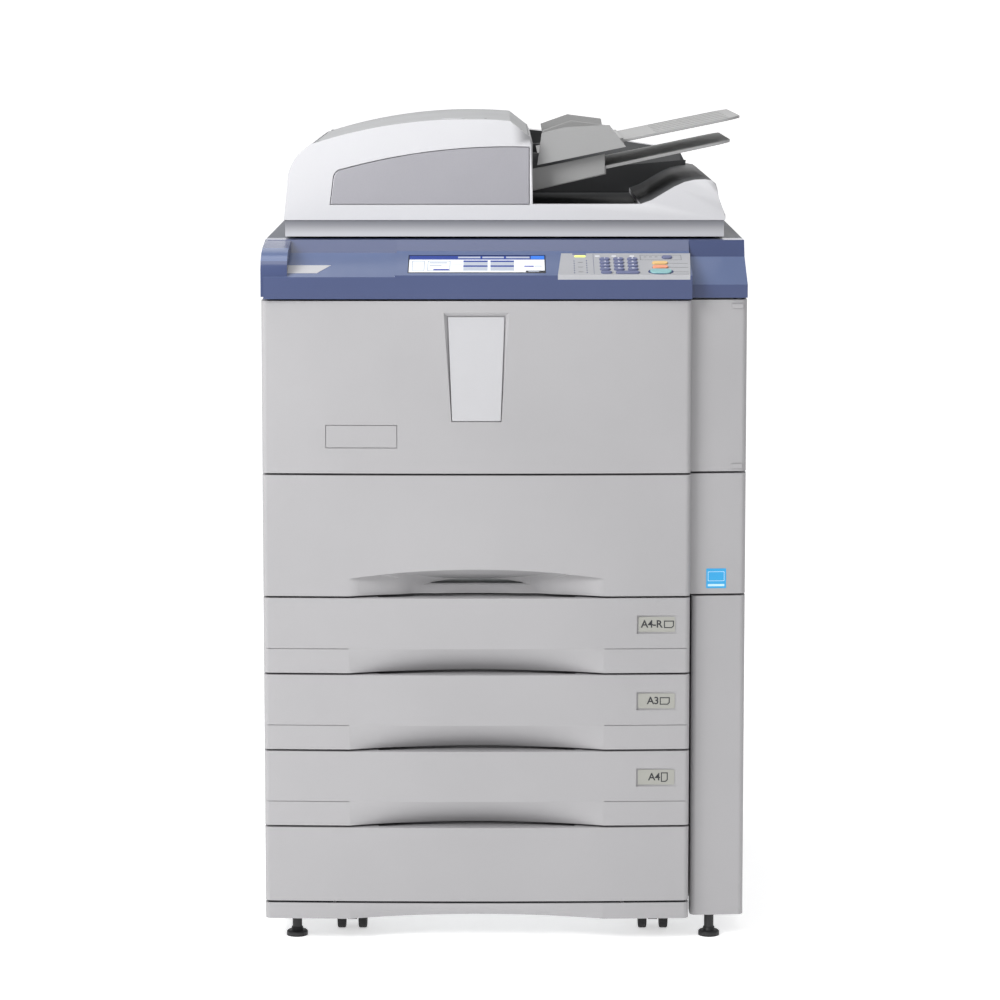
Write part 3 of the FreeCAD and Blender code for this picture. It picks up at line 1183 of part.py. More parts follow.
# front side wall of the document tray: X and Z of its corners, clear of the housing when the tray tilts up
SIDE_WALL = (
    (48.0, HINGE_LINE_Z - 10.5), (54.5, HINGE_LINE_Z + 36.5), (89.0, HINGE_LINE_Z + 45.0), (154.0, HINGE_LINE_Z + 48.5),
    (178.5, HINGE_LINE_Z + 16.5),
)
SIDE_WALL_OUT = 14.0
SIDE_WALL_THICK = 4.0
GUIDE_START = 64.0
GUIDE_END = 158.0
GUIDE_FOOT = 34.0
GUIDE_INSET = 22.0           # the guides stand this far in from the tray's edges


def document_tray():
    z0 = HINGE_LINE_Z - TRAY_THICK / 2
    tray = block(HINGE_LINE_X - 4, TRAY_END, TRAY_FRONT, TRAY_BACK, z0, z0 + TRAY_THICK)
    slot = block(
        HINGE_LINE_X + 8, TRAY_END + 1, TRAY_FRONT + 3, TRAY_BACK - 3, HINGE_LINE_Z - EXTENSION_THICK / 2 - 0.3,
        HINGE_LINE_Z + EXTENSION_THICK / 2 + 0.3
    )
    pin = rod_y(TRAY_PIN, TRAY_FRONT - 8, TRAY_BACK + 8, HINGE_LINE_X, HINGE_LINE_Z)
    side = profile_y(SIDE_WALL, TRAY_FRONT - SIDE_WALL_OUT, TRAY_FRONT - SIDE_WALL_OUT + SIDE_WALL_THICK)
    web = tilted(block(HINGE_LINE_X + 14, TRAY_END - 10, TRAY_FRONT - SIDE_WALL_OUT, TRAY_FRONT + 1, z0, z0 + 3))
    return fuse(tilted(fuse(tray.cut(slot), pin)), side, web)


def tray_extension():
    z0 = HINGE_LINE_Z - EXTENSION_THICK / 2
    d0, d1 = TRAY_FRONT + 3.4, TRAY_BACK - 3.4
    plate = block(EXTENSION_START, EXTENSION_END, d0, d1, z0, z0 + EXTENSION_THICK)
    return tilted(round_edges(plate, [feeder_point(EXTENSION_END, d, HINGE_LINE_Z) for d in (d0, d1)], 30))


def side_guide(depth, inward):
    """Upright wall that lines up the sheets, on a foot that slides on the tray."""
    z0 = HINGE_LINE_Z + TRAY_THICK / 2 + SEAT_GAP
    wall = profile_y([
        (GUIDE_START, z0), (GUIDE_END, z0), (GUIDE_END, z0 + 22), (GUIDE_END - 50, z0 + 39), (GUIDE_START, z0 + 33),
    ], min(depth, depth + inward * 3), max(depth, depth + inward * 3))
    foot_end = depth + inward * GUIDE_FOOT
    foot = block(GUIDE_START, GUIDE_END, min(depth, foot_end), max(depth, foot_end), z0, z0 + 3)
    return tilted(fuse(wall, foot))


def lower_tray():
    """Fixed tray under the document tray, rising to the right from the housing's side."""
    steps = [
        (HOUSING_RIGHT, 1084), (150, 1109), (150, 1117), (334, 1156), (334, 1160), (146, 1121), (146, 1113),
        (HOUSING_RIGHT, 1089),
    ]
    d0, d1 = TRAY_FRONT + 10, TRAY_BACK - 20
    outline = block(HOUSING_RIGHT, 334, d0, d1, 1050, 1200)
    outline = round_edges(outline, [feeder_point(334, d, 1125) for d in (d0, d1)], 24)
    wall = profile_y([
        (HOUSING_RIGHT, 1085), (HOUSING_RIGHT, 1117), (148, 1139), (148, 1110),
    ], d0 - 3, d0 + 1)
    return fuse(profile_y(steps, d0, d1).common(outline), wall)


save("platen_cover", platen_cover())
save("adf_housing", feeder_housing())
save("adf_cover", feeder_cover())
save("adf_front_panel", feeder_front_panel())
save("adf_tray", document_tray())
save("adf_tray_extension", tray_extension())
save("adf_guide_front", side_guide(TRAY_FRONT + GUIDE_INSET, 1))
save("adf_guide_rear", side_guide(TRAY_BACK - GUIDE_INSET, -1))
save("adf_lower_tray", lower_tray())
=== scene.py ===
import bpy
import bmesh
import json
import math
from mathutils import Matrix, Vector
from mathutils.bvhtree import BVHTree

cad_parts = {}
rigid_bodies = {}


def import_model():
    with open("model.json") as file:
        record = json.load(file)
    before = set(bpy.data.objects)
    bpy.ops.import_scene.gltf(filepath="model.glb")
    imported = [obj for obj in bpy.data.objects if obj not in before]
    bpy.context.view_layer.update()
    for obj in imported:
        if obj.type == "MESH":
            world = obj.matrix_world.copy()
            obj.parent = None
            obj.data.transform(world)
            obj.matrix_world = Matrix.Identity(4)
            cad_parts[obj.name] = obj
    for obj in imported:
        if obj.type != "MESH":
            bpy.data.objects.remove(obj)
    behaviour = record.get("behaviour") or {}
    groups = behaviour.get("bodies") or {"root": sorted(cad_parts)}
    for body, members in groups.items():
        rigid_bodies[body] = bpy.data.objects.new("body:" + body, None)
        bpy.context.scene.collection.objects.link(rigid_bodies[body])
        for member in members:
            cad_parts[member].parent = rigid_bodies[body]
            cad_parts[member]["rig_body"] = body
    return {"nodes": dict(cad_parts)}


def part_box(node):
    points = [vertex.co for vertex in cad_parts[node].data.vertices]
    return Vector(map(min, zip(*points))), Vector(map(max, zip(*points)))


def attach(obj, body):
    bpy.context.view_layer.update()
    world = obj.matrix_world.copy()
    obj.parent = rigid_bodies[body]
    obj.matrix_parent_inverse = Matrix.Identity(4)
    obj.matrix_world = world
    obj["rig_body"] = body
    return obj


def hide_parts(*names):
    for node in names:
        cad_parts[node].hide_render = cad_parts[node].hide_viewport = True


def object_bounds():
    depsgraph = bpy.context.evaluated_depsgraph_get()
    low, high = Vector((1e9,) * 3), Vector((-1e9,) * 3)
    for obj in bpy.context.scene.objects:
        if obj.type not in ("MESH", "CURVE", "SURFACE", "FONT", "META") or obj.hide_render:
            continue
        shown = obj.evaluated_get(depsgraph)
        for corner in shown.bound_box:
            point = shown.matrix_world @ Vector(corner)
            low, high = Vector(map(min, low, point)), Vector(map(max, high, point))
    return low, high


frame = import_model()
cadLow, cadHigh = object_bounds()
nodes = frame["nodes"]
scene = bpy.context.scene
mm = 0.001
print("frame loaded:", len(nodes), "nodes")


# Small helpers: colours and shader nodes.
def hexToLinear(code):
    channels = [int(code[i:i + 2], 16) / 255 for i in (1, 3, 5)]
    linear = [c / 12.92 if c <= 0.04045 else ((c + 0.055) / 1.055) ** 2.4 for c in channels]
    return (*linear, 1.0)


def addNode(tree, kind, inputs=None, **settings):
    node = tree.nodes.new(kind)
    for name, value in settings.items():
        setattr(node, name, value)
    for key, value in (inputs or {}).items():
        if isinstance(value, bpy.types.NodeSocket):
            tree.links.new(value, node.inputs[key])
        else:
            node.inputs[key].default_value = value
    return node


def newMaterial(name):
    material = bpy.data.materials.new(name)
    material.use_nodes = True
    tree = material.node_tree
    shader = tree.nodes["Principled BSDF"]
    where = addNode(tree, "ShaderNodeTexCoord").outputs["Object"]
    return material, tree, shader, where


# Moulded thermoplastic: a fine spark-eroded grain breaks up the gloss, with slow drifts in tone.
def mouldedPlastic(name, colour, roughness=0.5, grain=0.9, depth=0.035, drift=0.035, gloss=0.45, spec=0.5):
    material, tree, shader, where = newMaterial(name)
    base = hexToLinear(colour)
    slow = addNode(tree, "ShaderNodeTexNoise", {"Vector": where, "Scale": 3.5, "Detail": 3.0, "Roughness": 0.55})
    fine = addNode(tree, "ShaderNodeTexNoise", {"Vector": where, "Scale": 1 / (grain * mm), "Detail": 2.0})
    ramp = addNode(tree, "ShaderNodeMapRange", {
        "Value": slow.outputs["Fac"], "From Min": 0.3, "From Max": 0.7, "To Min": 1 - drift, "To Max": 1 + drift,
    })
    speck = addNode(tree, "ShaderNodeMapRange", {
        "Value": fine.outputs["Fac"], "From Min": 0.3, "From Max": 0.7, "To Min": 0.985, "To Max": 1.015,
    })
    both = addNode(tree, "ShaderNodeMath", {
        0: ramp.outputs["Result"], 1: speck.outputs["Result"],
    }, operation="MULTIPLY")
    tint = addNode(tree, "ShaderNodeVectorMath", {0: base[:3], "Scale": both.outputs[0]}, operation="SCALE")
    tree.links.new(tint.outputs[0], shader.inputs["Base Color"])
    wear = addNode(tree, "ShaderNodeMapRange", {
        "Value": slow.outputs["Fac"], "From Min": 0.3, "From Max": 0.7, "To Min": roughness - 0.05,
        "To Max": roughness + 0.06,
    })
    tree.links.new(wear.outputs["Result"], shader.inputs["Roughness"])
    bump = addNode(tree, "ShaderNodeBump", {"Height": fine.outputs["Fac"], "Strength": gloss, "Distance": depth * mm})
    tree.links.new(bump.outputs["Normal"], shader.inputs["Normal"])
    shader.inputs["IOR"].default_value = 1.53
    shader.inputs["Specular IOR Level"].default_value = spec
    return material


# Moulded plastic with painted shade from an overhang: its own pale grey below, painted greyer towards the edge above
# it as shade.
def fadedPlastic(name, low, high, zLow, zHigh, roughness=0.45):
    material, tree, shader, where = newMaterial(name)
    parts = addNode(tree, "ShaderNodeSeparateXYZ", {0: where})
    share = addNode(tree, "ShaderNodeMapRange", {
        "Value": parts.outputs["Z"], "From Min": zLow, "From Max": zHigh,
    }, interpolation_type="SMOOTHSTEP")
    mixed = addNode(tree, "ShaderNodeMix", {"Factor": share.outputs["Result"]}, data_type="RGBA")
    mixed.inputs[6].default_value = hexToLinear(low)
    mixed.inputs[7].default_value = hexToLinear(high)
    tree.links.new(mixed.outputs[2], shader.inputs["Base Color"])
    fine = addNode(tree, "ShaderNodeTexNoise", {"Vector": where, "Scale": 1 / (0.9 * mm), "Detail": 2.0})
    bump = addNode(tree, "ShaderNodeBump", {"Height": fine.outputs["Fac"], "Strength": 0.4, "Distance": 0.03 * mm})
    tree.links.new(bump.outputs["Normal"], shader.inputs["Normal"])
    shader.inputs["Roughness"].default_value = roughness
    return material


# Silver lacquer over plastic: fine metal flake under a clear coat.
def silverLacquer(name, colour, roughness=0.34, metallic=0.35):
    material, tree, shader, where = newMaterial(name)
    base = hexToLinear(colour)
    flake = addNode(tree, "ShaderNodeTexVoronoi", {"Vector": where, "Scale": 1 / (0.8 * mm)})
    shade = addNode(tree, "ShaderNodeMapRange", {
        "Value": flake.outputs["Distance"], "From Min": 0.0, "From Max": 0.8, "To Min": 1.05, "To Max": 0.96,
    })
    tint = addNode(tree, "ShaderNodeVectorMath", {0: base[:3], "Scale": shade.outputs["Result"]}, operation="SCALE")
    tree.links.new(tint.outputs[0], shader.inputs["Base Color"])
    soft = addNode(tree, "ShaderNodeTexNoise", {"Vector": where, "Scale": 30.0, "Detail": 2.0})
    rough = addNode(tree, "ShaderNodeMapRange", {
        "Value": soft.outputs["Fac"], "To Min": roughness - 0.04, "To Max": roughness + 0.04,
    })
    tree.links.new(rough.outputs["Result"], shader.inputs["Roughness"])
    shader.inputs["Metallic"].default_value = metallic
    shader.inputs["Coat Weight"].default_value = 0.25
    shader.inputs["Coat Roughness"].default_value = 0.2
    return material


# Zinc plated steel sheet: soft rolling lines and a cloudy spangle.
def zincSteel(name, colour, roughness=0.42):
    material, tree, shader, where = newMaterial(name)
    base = hexToLinear(colour)
    stretch = addNode(tree, "ShaderNodeMapping", {"Vector": where, "Scale": (4.0, 60.0, 60.0)})
    lines = addNode(tree, "ShaderNodeTexNoise", {"Vector": stretch.outputs[0], "Scale": 9.0, "Detail": 4.0})
    cloud = addNode(tree, "ShaderNodeTexVoronoi", {"Vector": where, "Scale": 1 / (9 * mm)})
    mix = addNode(tree, "ShaderNodeMath", {0: lines.outputs["Fac"], 1: cloud.outputs["Distance"]}, operation="ADD")
    shade = addNode(tree, "ShaderNodeMapRange", {
        "Value": mix.outputs[0], "From Min": 0.4, "From Max": 1.4, "To Min": 0.9, "To Max": 1.08,
    })
    tint = addNode(tree, "ShaderNodeVectorMath", {0: base[:3], "Scale": shade.outputs["Result"]}, operation="SCALE")
    tree.links.new(tint.outputs[0], shader.inputs["Base Color"])
    rough = addNode(tree, "ShaderNodeMapRange", {
        "Value": lines.outputs["Fac"], "To Min": roughness - 0.08, "To Max": roughness + 0.08,
    })
    tree.links.new(rough.outputs["Result"], shader.inputs["Roughness"])
    shader.inputs["Metallic"].default_value = 0.9
    return material


# Ink or a lit symbol printed on a part: flat, with the print's faint unevenness.
def printedInk(name, colour, roughness=0.5, lit=0.0):
    material, tree, shader, where = newMaterial(name)
    base = hexToLinear(colour)
    dots = addNode(tree, "ShaderNodeTexNoise", {"Vector": where, "Scale": 900.0, "Detail": 1.0})
    shade = addNode(tree, "ShaderNodeMapRange", {"Value": dots.outputs["Fac"], "To Min": 0.95, "To Max": 1.05})
    tint = addNode(tree, "ShaderNodeVectorMath", {0: base[:3], "Scale": shade.outputs["Result"]}, operation="SCALE")
    tree.links.new(tint.outputs[0], shader.inputs["Base Color"])
    shader.inputs["Roughness"].default_value = roughness
    if lit:
        shader.inputs["Emission Color"].default_value = base
        shader.inputs["Emission Strength"].default_value = lit
    return material


# Float glass: clear, with a faint green body colour.
def floatGlass(name, colour):
    material, tree, shader, where = newMaterial(name)
    smear = addNode(tree, "ShaderNodeTexNoise", {"Vector": where, "Scale": 14.0, "Detail": 3.0})
    rough = addNode(tree, "ShaderNodeMapRange", {"Value": smear.outputs["Fac"], "To Min": 0.02, "To Max": 0.07})
    tree.links.new(rough.outputs["Result"], shader.inputs["Roughness"])
    shader.inputs["Base Color"].default_value = hexToLinear(colour)
    shader.inputs["Transmission Weight"].default_value = 0.9
    shader.inputs["IOR"].default_value = 1.52
    return material


colours = {
    "cover": "#A3A2A4", "blue": "#3F4A6F", "blueEdgeHighlight": "#8F99B8", "blueSlopeLit": "#58668A", "scanner": "#4A4E59",
    "silver": "#B2B3B7",
    "white": "#C6C6C9", "whiteTopShade": "#98999B", "insert": "#AAA9AF", "tray": "#989898", "deck": "#4C4D4F",
    "black": "#1B1B1D", "slate": "#666C8E", "teal": "#86B6B9", "orange": "#E99A78", "yellow": "#E2BC7C",
    "pale": "#B6B6B9", "ink": "#2B2C30", "rubber": "#151516",
}
materials = {
    "cover": mouldedPlastic("moulded ABS warm grey", colours["cover"], 0.52),
    "blue": mouldedPlastic("moulded ABS slate blue", colours["blue"], 0.2, grain=1.1, depth=0.012, spec=0.65),
    "scanner": mouldedPlastic("moulded ABS dark grey", colours["scanner"], 0.5),
    "white": mouldedPlastic("moulded ABS white", colours["white"], 0.45, drift=0.015),
    # the feeder cover is the housing's white plastic, painted darker on its top as shade
    "whiteTopShade": mouldedPlastic("moulded ABS white top with painted shade", colours["whiteTopShade"], 0.5, drift=0.02),
    "insert": silverLacquer("silver lacquered insert", colours["insert"]),
    "tray": mouldedPlastic("moulded ABS tray grey", colours["tray"], 0.5, grain=1.2),
    # the exit deck: grey plastic, painted darker still as shade in the deck's hollow
    "deck": mouldedPlastic("moulded ABS deck grey with painted shade", colours["deck"], 0.55),
    # the panel's slope: the same blue plastic, painted lighter as light falling on it
    "blueSlopeLit": mouldedPlastic("moulded ABS slate blue with painted light on the slope", colours["blueSlopeLit"], 0.22, grain=1.1, depth=0.012),
    # a paler blue for the seam line, painted highlight on the step in the lip
    "blueEdgeHighlight": mouldedPlastic("moulded ABS blue painted edge highlight", colours["blueEdgeHighlight"], 0.3, drift=0.0),
    # the platen cover's front: pale grey plastic, painted greyer towards the top as shade under the feeder's overhang
    "skirt": fadedPlastic("moulded ABS feeder skirt with painted overhang shade", "#CECED1", "#7F8086", 1020 * mm, 1044 * mm),
    "keyPlate": silverLacquer("silver lacquered key plate", colours["silver"], 0.4, 0.2),
    "slate": mouldedPlastic("silicone key slate", colours["slate"], 0.4, drift=0.01),
    "teal": mouldedPlastic("translucent key teal", colours["teal"], 0.25, drift=0.01),
    "orange": mouldedPlastic("moulded key orange", colours["orange"], 0.35, drift=0.01),
    "yellow": mouldedPlastic("moulded key yellow", colours["yellow"], 0.35, drift=0.01),
    "pale": mouldedPlastic("moulded ABS pale plate", colours["pale"], 0.4, drift=0.01),
    "black": mouldedPlastic("moulded polypropylene black", colours["black"], 0.5),
    "rubber": mouldedPlastic("moulded rubber", colours["rubber"], 0.7, grain=1.5),
    "steel": zincSteel("zinc plated steel", "#B4B6B8"),
    "glass": floatGlass("float glass", "#DCEBE7"),
    "screenGlass": mouldedPlastic("screen frame gloss black", "#101216", 0.12, drift=0.0),
    "inkDark": printedInk("printed ink dark grey", colours["ink"]),
    "inkBlue": printedInk("printed ink navy", "#2F3B6B"),
    "inkWhite": printedInk("printed ink white", "#E6E8EE"),
    "litWhite": printedInk("lit screen white", "#E4E8EE", 0.25, 0.25),
    "litBlue": printedInk("lit screen blue", "#14307F", 0.25, 0.3),
    "litSky": printedInk("lit screen sky", "#2368C8", 0.25, 0.4),
    "litGrey": printedInk("lit screen grey", "#A7AEBA", 0.25, 0.2),
    "litViolet": printedInk("lit screen violet", "#474C96", 0.25, 0.3),
    "litBlack": printedInk("screen black", "#08090C", 0.2),
    "litLime": printedInk("lit lamp lime", "#E9F27A", 0.3, 0.5),
    "sticker": printedInk("printed sticker blue", "#2F9FD8", 0.35),
    "stickerPale": printedInk("printed sticker pale", "#BFE3F4", 0.35),
    "labelPlate": mouldedPlastic("size card cream", "#9E9E98", 0.5, drift=0.01),
    "edgeShade": printedInk("joint shadow", "#26272B", 0.8),
}
print("materials made:", len(materials))


# Helpers that turn meshes into finished pieces.
def meshFromBmesh(bm, name):
    mesh = bpy.data.meshes.new(name)
    bm.to_mesh(mesh)
    bm.free()
    return mesh


def newObject(name, mesh, *used):
    piece = bpy.data.objects.new(name, mesh)
    scene.collection.objects.link(piece)
    for material in used:
        mesh.materials.append(material)
    return piece


def bakeModifiers(piece):
    bpy.context.view_layer.update()
    done = bpy.data.meshes.new_from_object(piece.evaluated_get(bpy.context.evaluated_depsgraph_get()))
    piece.modifiers.clear()
    piece.data = done
    return piece


def finishPiece(piece, body, smooth=35):
    if piece.data.polygons and smooth:
        piece.data.shade_smooth()
        piece.data.set_sharp_from_angle(angle=math.radians(smooth))
    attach(piece, body)
    return piece


# A CAD part with softened edges: a merged copy, its flat facets joined, then a narrow bevel. A part that the bevel
# would tear keeps its plain edges.
def mergedCopy(source, joinFlats, cutDepth):
    bm = bmesh.new()
    bm.from_mesh(source.data)
    bmesh.ops.remove_doubles(bm, verts=bm.verts, dist=2e-6)
    if joinFlats:
        bmesh.ops.dissolve_limit(bm, angle_limit=math.radians(0.4), verts=bm.verts, edges=bm.edges)
    if cutDepth:  # a line where the finish changes
        everything = bm.verts[:] + bm.edges[:] + bm.faces[:]
        bmesh.ops.bisect_plane(bm, geom=everything, plane_co=(0, cadLow.y + cutDepth * mm, 0), plane_no=(0, 1, 0))
    return bm


def meshAreaAndVolume(mesh):
    bm = bmesh.new()
    bm.from_mesh(mesh)
    bmesh.ops.triangulate(bm, faces=bm.faces)
    area, volume = sum(face.calc_area() for face in bm.faces), bm.calc_volume()
    bm.free()
    return area, volume


def softenPart(name, width, used, cutDepth=None, segments=2, angle=32):
    source = nodes[name]
    skinName = name + "_skin"
    piece = newObject(skinName, meshFromBmesh(mergedCopy(source, width > 0, cutDepth), skinName), *used)
    plainArea, plainVolume = meshAreaAndVolume(source.data)
    if width:
        piece.data.shade_smooth()
        bevel = piece.modifiers.new("soft edges", "BEVEL")
        bevel.width = width * mm
        bevel.segments = segments
        bevel.limit_method = "ANGLE"
        bevel.angle_limit = math.radians(angle)
        bevel.use_clamp_overlap = True
        bevel.miter_outer = "MITER_ARC"
        bakeModifiers(piece)
        area, volume = meshAreaAndVolume(piece.data)
        if abs(area / plainArea - 1) > 0.025 or abs(volume / plainVolume - 1) > 0.04:
            print("plain edges kept:", name)
            width = 0
            piece.data = meshFromBmesh(mergedCopy(source, False, cutDepth), skinName)
            for material in used:
                piece.data.materials.append(material)
    piece.data.shade_smooth()
    piece.data.set_sharp_from_angle(angle=math.radians(angle))
    even = piece.modifiers.new("even shading", "WEIGHTED_NORMAL")
    even.keep_sharp = True
    even.weight = 100
    bakeModifiers(piece)
    finishPiece(piece, source["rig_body"], smooth=None)
    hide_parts(name)
    return piece


# bevel width in mm, 0 for plain edges, and the finish
partFinish = {
    "front_cover": (1.2, "cover"), "lower_front_cover": (1.2, "cover"), "front_skirt": (1.0, "cover"),
    "left_cover": (0.0, "cover"), "right_cover": (1.0, "cover"), "rear_cover": (0.0, "cover"),
    "side_door": (0.8, "cover"), "switch_flap": (0.4, "cover"), "name_plate": (0.8, "pale"),
    "scanner_housing": (1.2, "scanner"), "panel_housing": (1.4, "blue"), "key_panel": (0.4, "keyPlate"),
    "display_screen": (0.4, "screenGlass"), "platen_cover": (1.0, "skirt"), "adf_housing": (1.2, "white"),
    "adf_cover": (0.8, "whiteTopShade"), "adf_front_panel": (0.8, "insert"), "adf_tray": (0.8, "tray"),
    "adf_tray_extension": (0.8, "tray"), "adf_lower_tray": (0.8, "tray"), "adf_guide_front": (0.8, "tray"),
    "adf_guide_rear": (0.8, "tray"), "inner_cover": (0.8, "cover"), "print_engine": (0.8, "black"),
    "toner_cartridge": (1.0, "black"), "scan_carriage": (0.6, "black"), "base_frame": (0.0, "steel"),
    "frame_back_plate": (0.0, "steel"),
    "rear_wheels": (1.5, "rubber"),
}
for number in range(1, 5):
    partFinish[f"drawer_face_{number}"] = (1.2, "cover")
    partFinish[f"drawer_tray_{number}"] = (0.0, "steel")
for side in ("left", "right"):
    partFinish[f"caster_fork_{side}"] = (0.6, "black")
    partFinish[f"caster_wheels_{side}"] = (1.2, "rubber")
    partFinish[f"foot_{side}"] = (0.6, "black")
for name in nodes:
    if name.startswith("key_") and name != "key_panel":
        partFinish[name] = (0.0, {"key_start": "teal", "key_stop": "orange", "key_function_clear": "yellow"}.get(
            name, "slate"))
deckFront = 144  # mm behind the front, where the deck starts
skins = {}
for name, (width, finish) in partFinish.items():
    if name in nodes:
        skins[name] = softenPart(name, width, [materials[finish]], deckFront if name == "adf_housing" else None)
nodes["platen_glass"].data.materials.clear()
nodes["platen_glass"].data.materials.append(materials["glass"])
print("parts softened:", len(skins))


def recolour(piece, finish, test):
    piece.data.materials.append(materials[finish])
    index = len(piece.data.materials) - 1
    for polygon in piece.data.polygons:
        if test(polygon.center, polygon.normal):
            polygon.material_index = index


deckZone = {"left": 42 * mm, "front": deckFront * mm, "under": 1110 * mm}


# faces of the exit deck and its rear wall, which get the deck grey with painted shade
def onDeck(centre, normal):
    inside = centre.x > deckZone["left"] and centre.y > cadLow.y + deckZone["front"]
    return inside and (normal.z > 0.3 and centre.z < deckZone["under"] or normal.y < -0.7)


recolour(skins["adf_housing"], "deck", onDeck)
# the up-facing faces of the panel slope get the blue with painted light
recolour(skins["panel_housing"], "blueSlopeLit", lambda centre, normal: 0.75 < normal.z < 0.985 and normal.y < -0.15)


# Flat printed or inlaid shapes.
def shapeOutline(width, height, radius=0.0, corners=5):
    if radius <= 0:
        return [(-width / 2, -height / 2), (width / 2, -height / 2), (width / 2, height / 2), (-width / 2, height / 2)]
    points = []
    for cx, cy, start in ((1, -1, -90), (1, 1, 0), (-1, 1, 90), (-1, -1, 180)):
        for step in range(corners + 1):
            a = math.radians(start + 90 * step / corners)
            points.append((
                cx * (width / 2 - radius) + radius * math.cos(a), cy * (height / 2 - radius) + radius * math.sin(a)
            ))
    return points


def inlay(bm, outline, place, thick, index=0):
    low = [bm.verts.new(place @ Vector((x, y, 0))) for x, y in outline]
    high = [bm.verts.new(place @ Vector((x, y, thick))) for x, y in outline]
    faces = [bm.faces.new(high), bm.faces.new(low[::-1])]
    count = len(outline)
    for i in range(count):
        j = (i + 1) % count
        faces.append(bm.faces.new((low[i], low[j], high[j], high[i])))
    for face in faces:
        face.material_index = index


def textMesh(words, size, place, thick=0.0001, spacing=1.0, bold=0.0):
    curve = bpy.data.curves.new("lettering", "FONT")
    curve.body = words
    curve.size = size
    curve.align_x = "CENTER"
    curve.align_y = "CENTER"
    curve.extrude = thick / 2
    curve.offset = bold
    curve.space_character = spacing
    curve.resolution_u = 3
    holder = bpy.data.objects.new("lettering", curve)
    scene.collection.objects.link(holder)
    bpy.context.view_layer.update()
    mesh = bpy.data.meshes.new_from_object(holder.evaluated_get(bpy.context.evaluated_depsgraph_get()))
    mesh.transform(place)
    bpy.data.objects.remove(holder)
    return mesh


def joinMeshes(name, meshes, *used):
    bm = bmesh.new()
    for mesh, index in meshes:
        start = len(bm.faces)
        bm.from_mesh(mesh)
        bm.faces.ensure_lookup_table()
        for face in bm.faces[start:]:
            face.material_index = index
    bmesh.ops.remove_doubles(bm, verts=bm.verts, dist=1e-7)
    return newObject(name, meshFromBmesh(bm, name), *used)


# The sloping control panel, with places given along and up its slope.
panelSizes = {
    "slopeRun": 96 * mm, "slopeRise": 28 * mm, "lipTop": 974 * mm, "plateProud": 1.0 * mm, "keyProud": 2.2 * mm,
    "leftDrop": 2.5 * mm, "print": 0.12 * mm,
}
slopeAngle = math.atan2(panelSizes["slopeRise"], panelSizes["slopeRun"])
slopeStart = Vector((0, cadLow.y, panelSizes["lipTop"]))
slopeMatrix = Matrix.Translation(slopeStart) @ Matrix.Rotation(slopeAngle, 4, "X")


def onSlope(x, up, out=0.0, turn=0.0):
    return slopeMatrix @ Matrix.Translation((x, up, out)) @ Matrix.Rotation(turn, 4, "Z")


def slopeCentre(name):
    low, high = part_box(name)
    middle = slopeMatrix.inverted() @ ((Vector(low) + Vector(high)) / 2)
    return middle.x, middle.y


screenSizes = {"width": 198 * mm, "height": 74 * mm, "border": 1.6 * mm, "recess": -0.8 * mm, "layer": 0.08 * mm}
# left, right, bottom and top as shares of the screen, material, layer
screenLayout = [
    (0.0, 1.0, 0.06, 1.0, 0, 1), (0.0, 1.0, 0.78, 1.0, 1, 2), (0.90, 1.0, 0.80, 1.0, 2, 3),
    (0.36, 0.525, 0.86, 0.95, 3, 3), (0.54, 0.70, 0.86, 0.95, 3, 3), (0.716, 0.89, 0.86, 0.95, 3, 3),
    (0.02, 0.115, 0.14, 0.70, 3, 2), (0.027, 0.108, 0.17, 0.66, 0, 3), (0.135, 0.305, 0.12, 0.70, 3, 2),
    (0.142, 0.298, 0.16, 0.66, 0, 3), (0.18, 0.295, 0.16, 0.24, 4, 4), (0.15, 0.28, 0.55, 0.62, 3, 4),
    (0.15, 0.24, 0.40, 0.46, 3, 4), (0.32, 0.39, 0.50, 0.54, 3, 2),
    (0.40, 0.58, 0.44, 0.73, 3, 2), (0.40, 0.58, 0.64, 0.73, 1, 3), (0.60, 0.775, 0.44, 0.73, 3, 2),
    (0.60, 0.775, 0.64, 0.73, 1, 3), (0.40, 0.58, 0.14, 0.44, 3, 2), (0.40, 0.58, 0.36, 0.445, 1, 3),
    (0.60, 0.775, 0.14, 0.44, 3, 2), (0.60, 0.775, 0.36, 0.445, 1, 3), (0.85, 0.92, 0.36, 0.43, 4, 2),
    (0.925, 0.98, 0.38, 0.43, 3, 2), (0.86, 1.0, 0.06, 0.15, 5, 2), (0.88, 0.96, 0.08, 0.12, 3, 3),
]
screenX, screenUp = slopeCentre("display_screen")
bm = bmesh.new()
usedWidth = screenSizes["width"] - 2 * screenSizes["border"]
usedHeight = screenSizes["height"] - 2 * screenSizes["border"]
for left, right, low, high, index, layer in screenLayout:
    centre = onSlope(
        screenX + ((left + right) / 2 - 0.5) * usedWidth, screenUp + ((low + high) / 2 - 0.5) * usedHeight,
        screenSizes["recess"] + (layer - 1) * screenSizes["layer"]
    )
    inlay(bm, shapeOutline((right - left) * usedWidth, (high - low) * usedHeight), centre, screenSizes["layer"], index)
screenPicture = newObject("screen_picture", meshFromBmesh(bm, "screen_picture"), *[
    materials[key] for key in ("litWhite", "litBlue", "litSky", "litGrey", "litViolet", "litBlack")
])
finishPiece(screenPicture, "cabinet")


legendSizes = {"digit": 7.2 * mm}
keyLegends = {f"key_{n}": str(n) for n in range(10)}
keyLegends.update({"key_star": "*", "key_hash": "#"})
keyOut = panelSizes["plateProud"] + panelSizes["keyProud"]
for name, words in keyLegends.items():
    x, up = slopeCentre(name)
    mesh = textMesh(words, legendSizes["digit"], onSlope(x, up, keyOut + panelSizes["print"] / 2), panelSizes["print"])
    legend = joinMeshes(name + "_legend", [(mesh, 0)], materials["inkWhite"])
    finishPiece(legend, name)

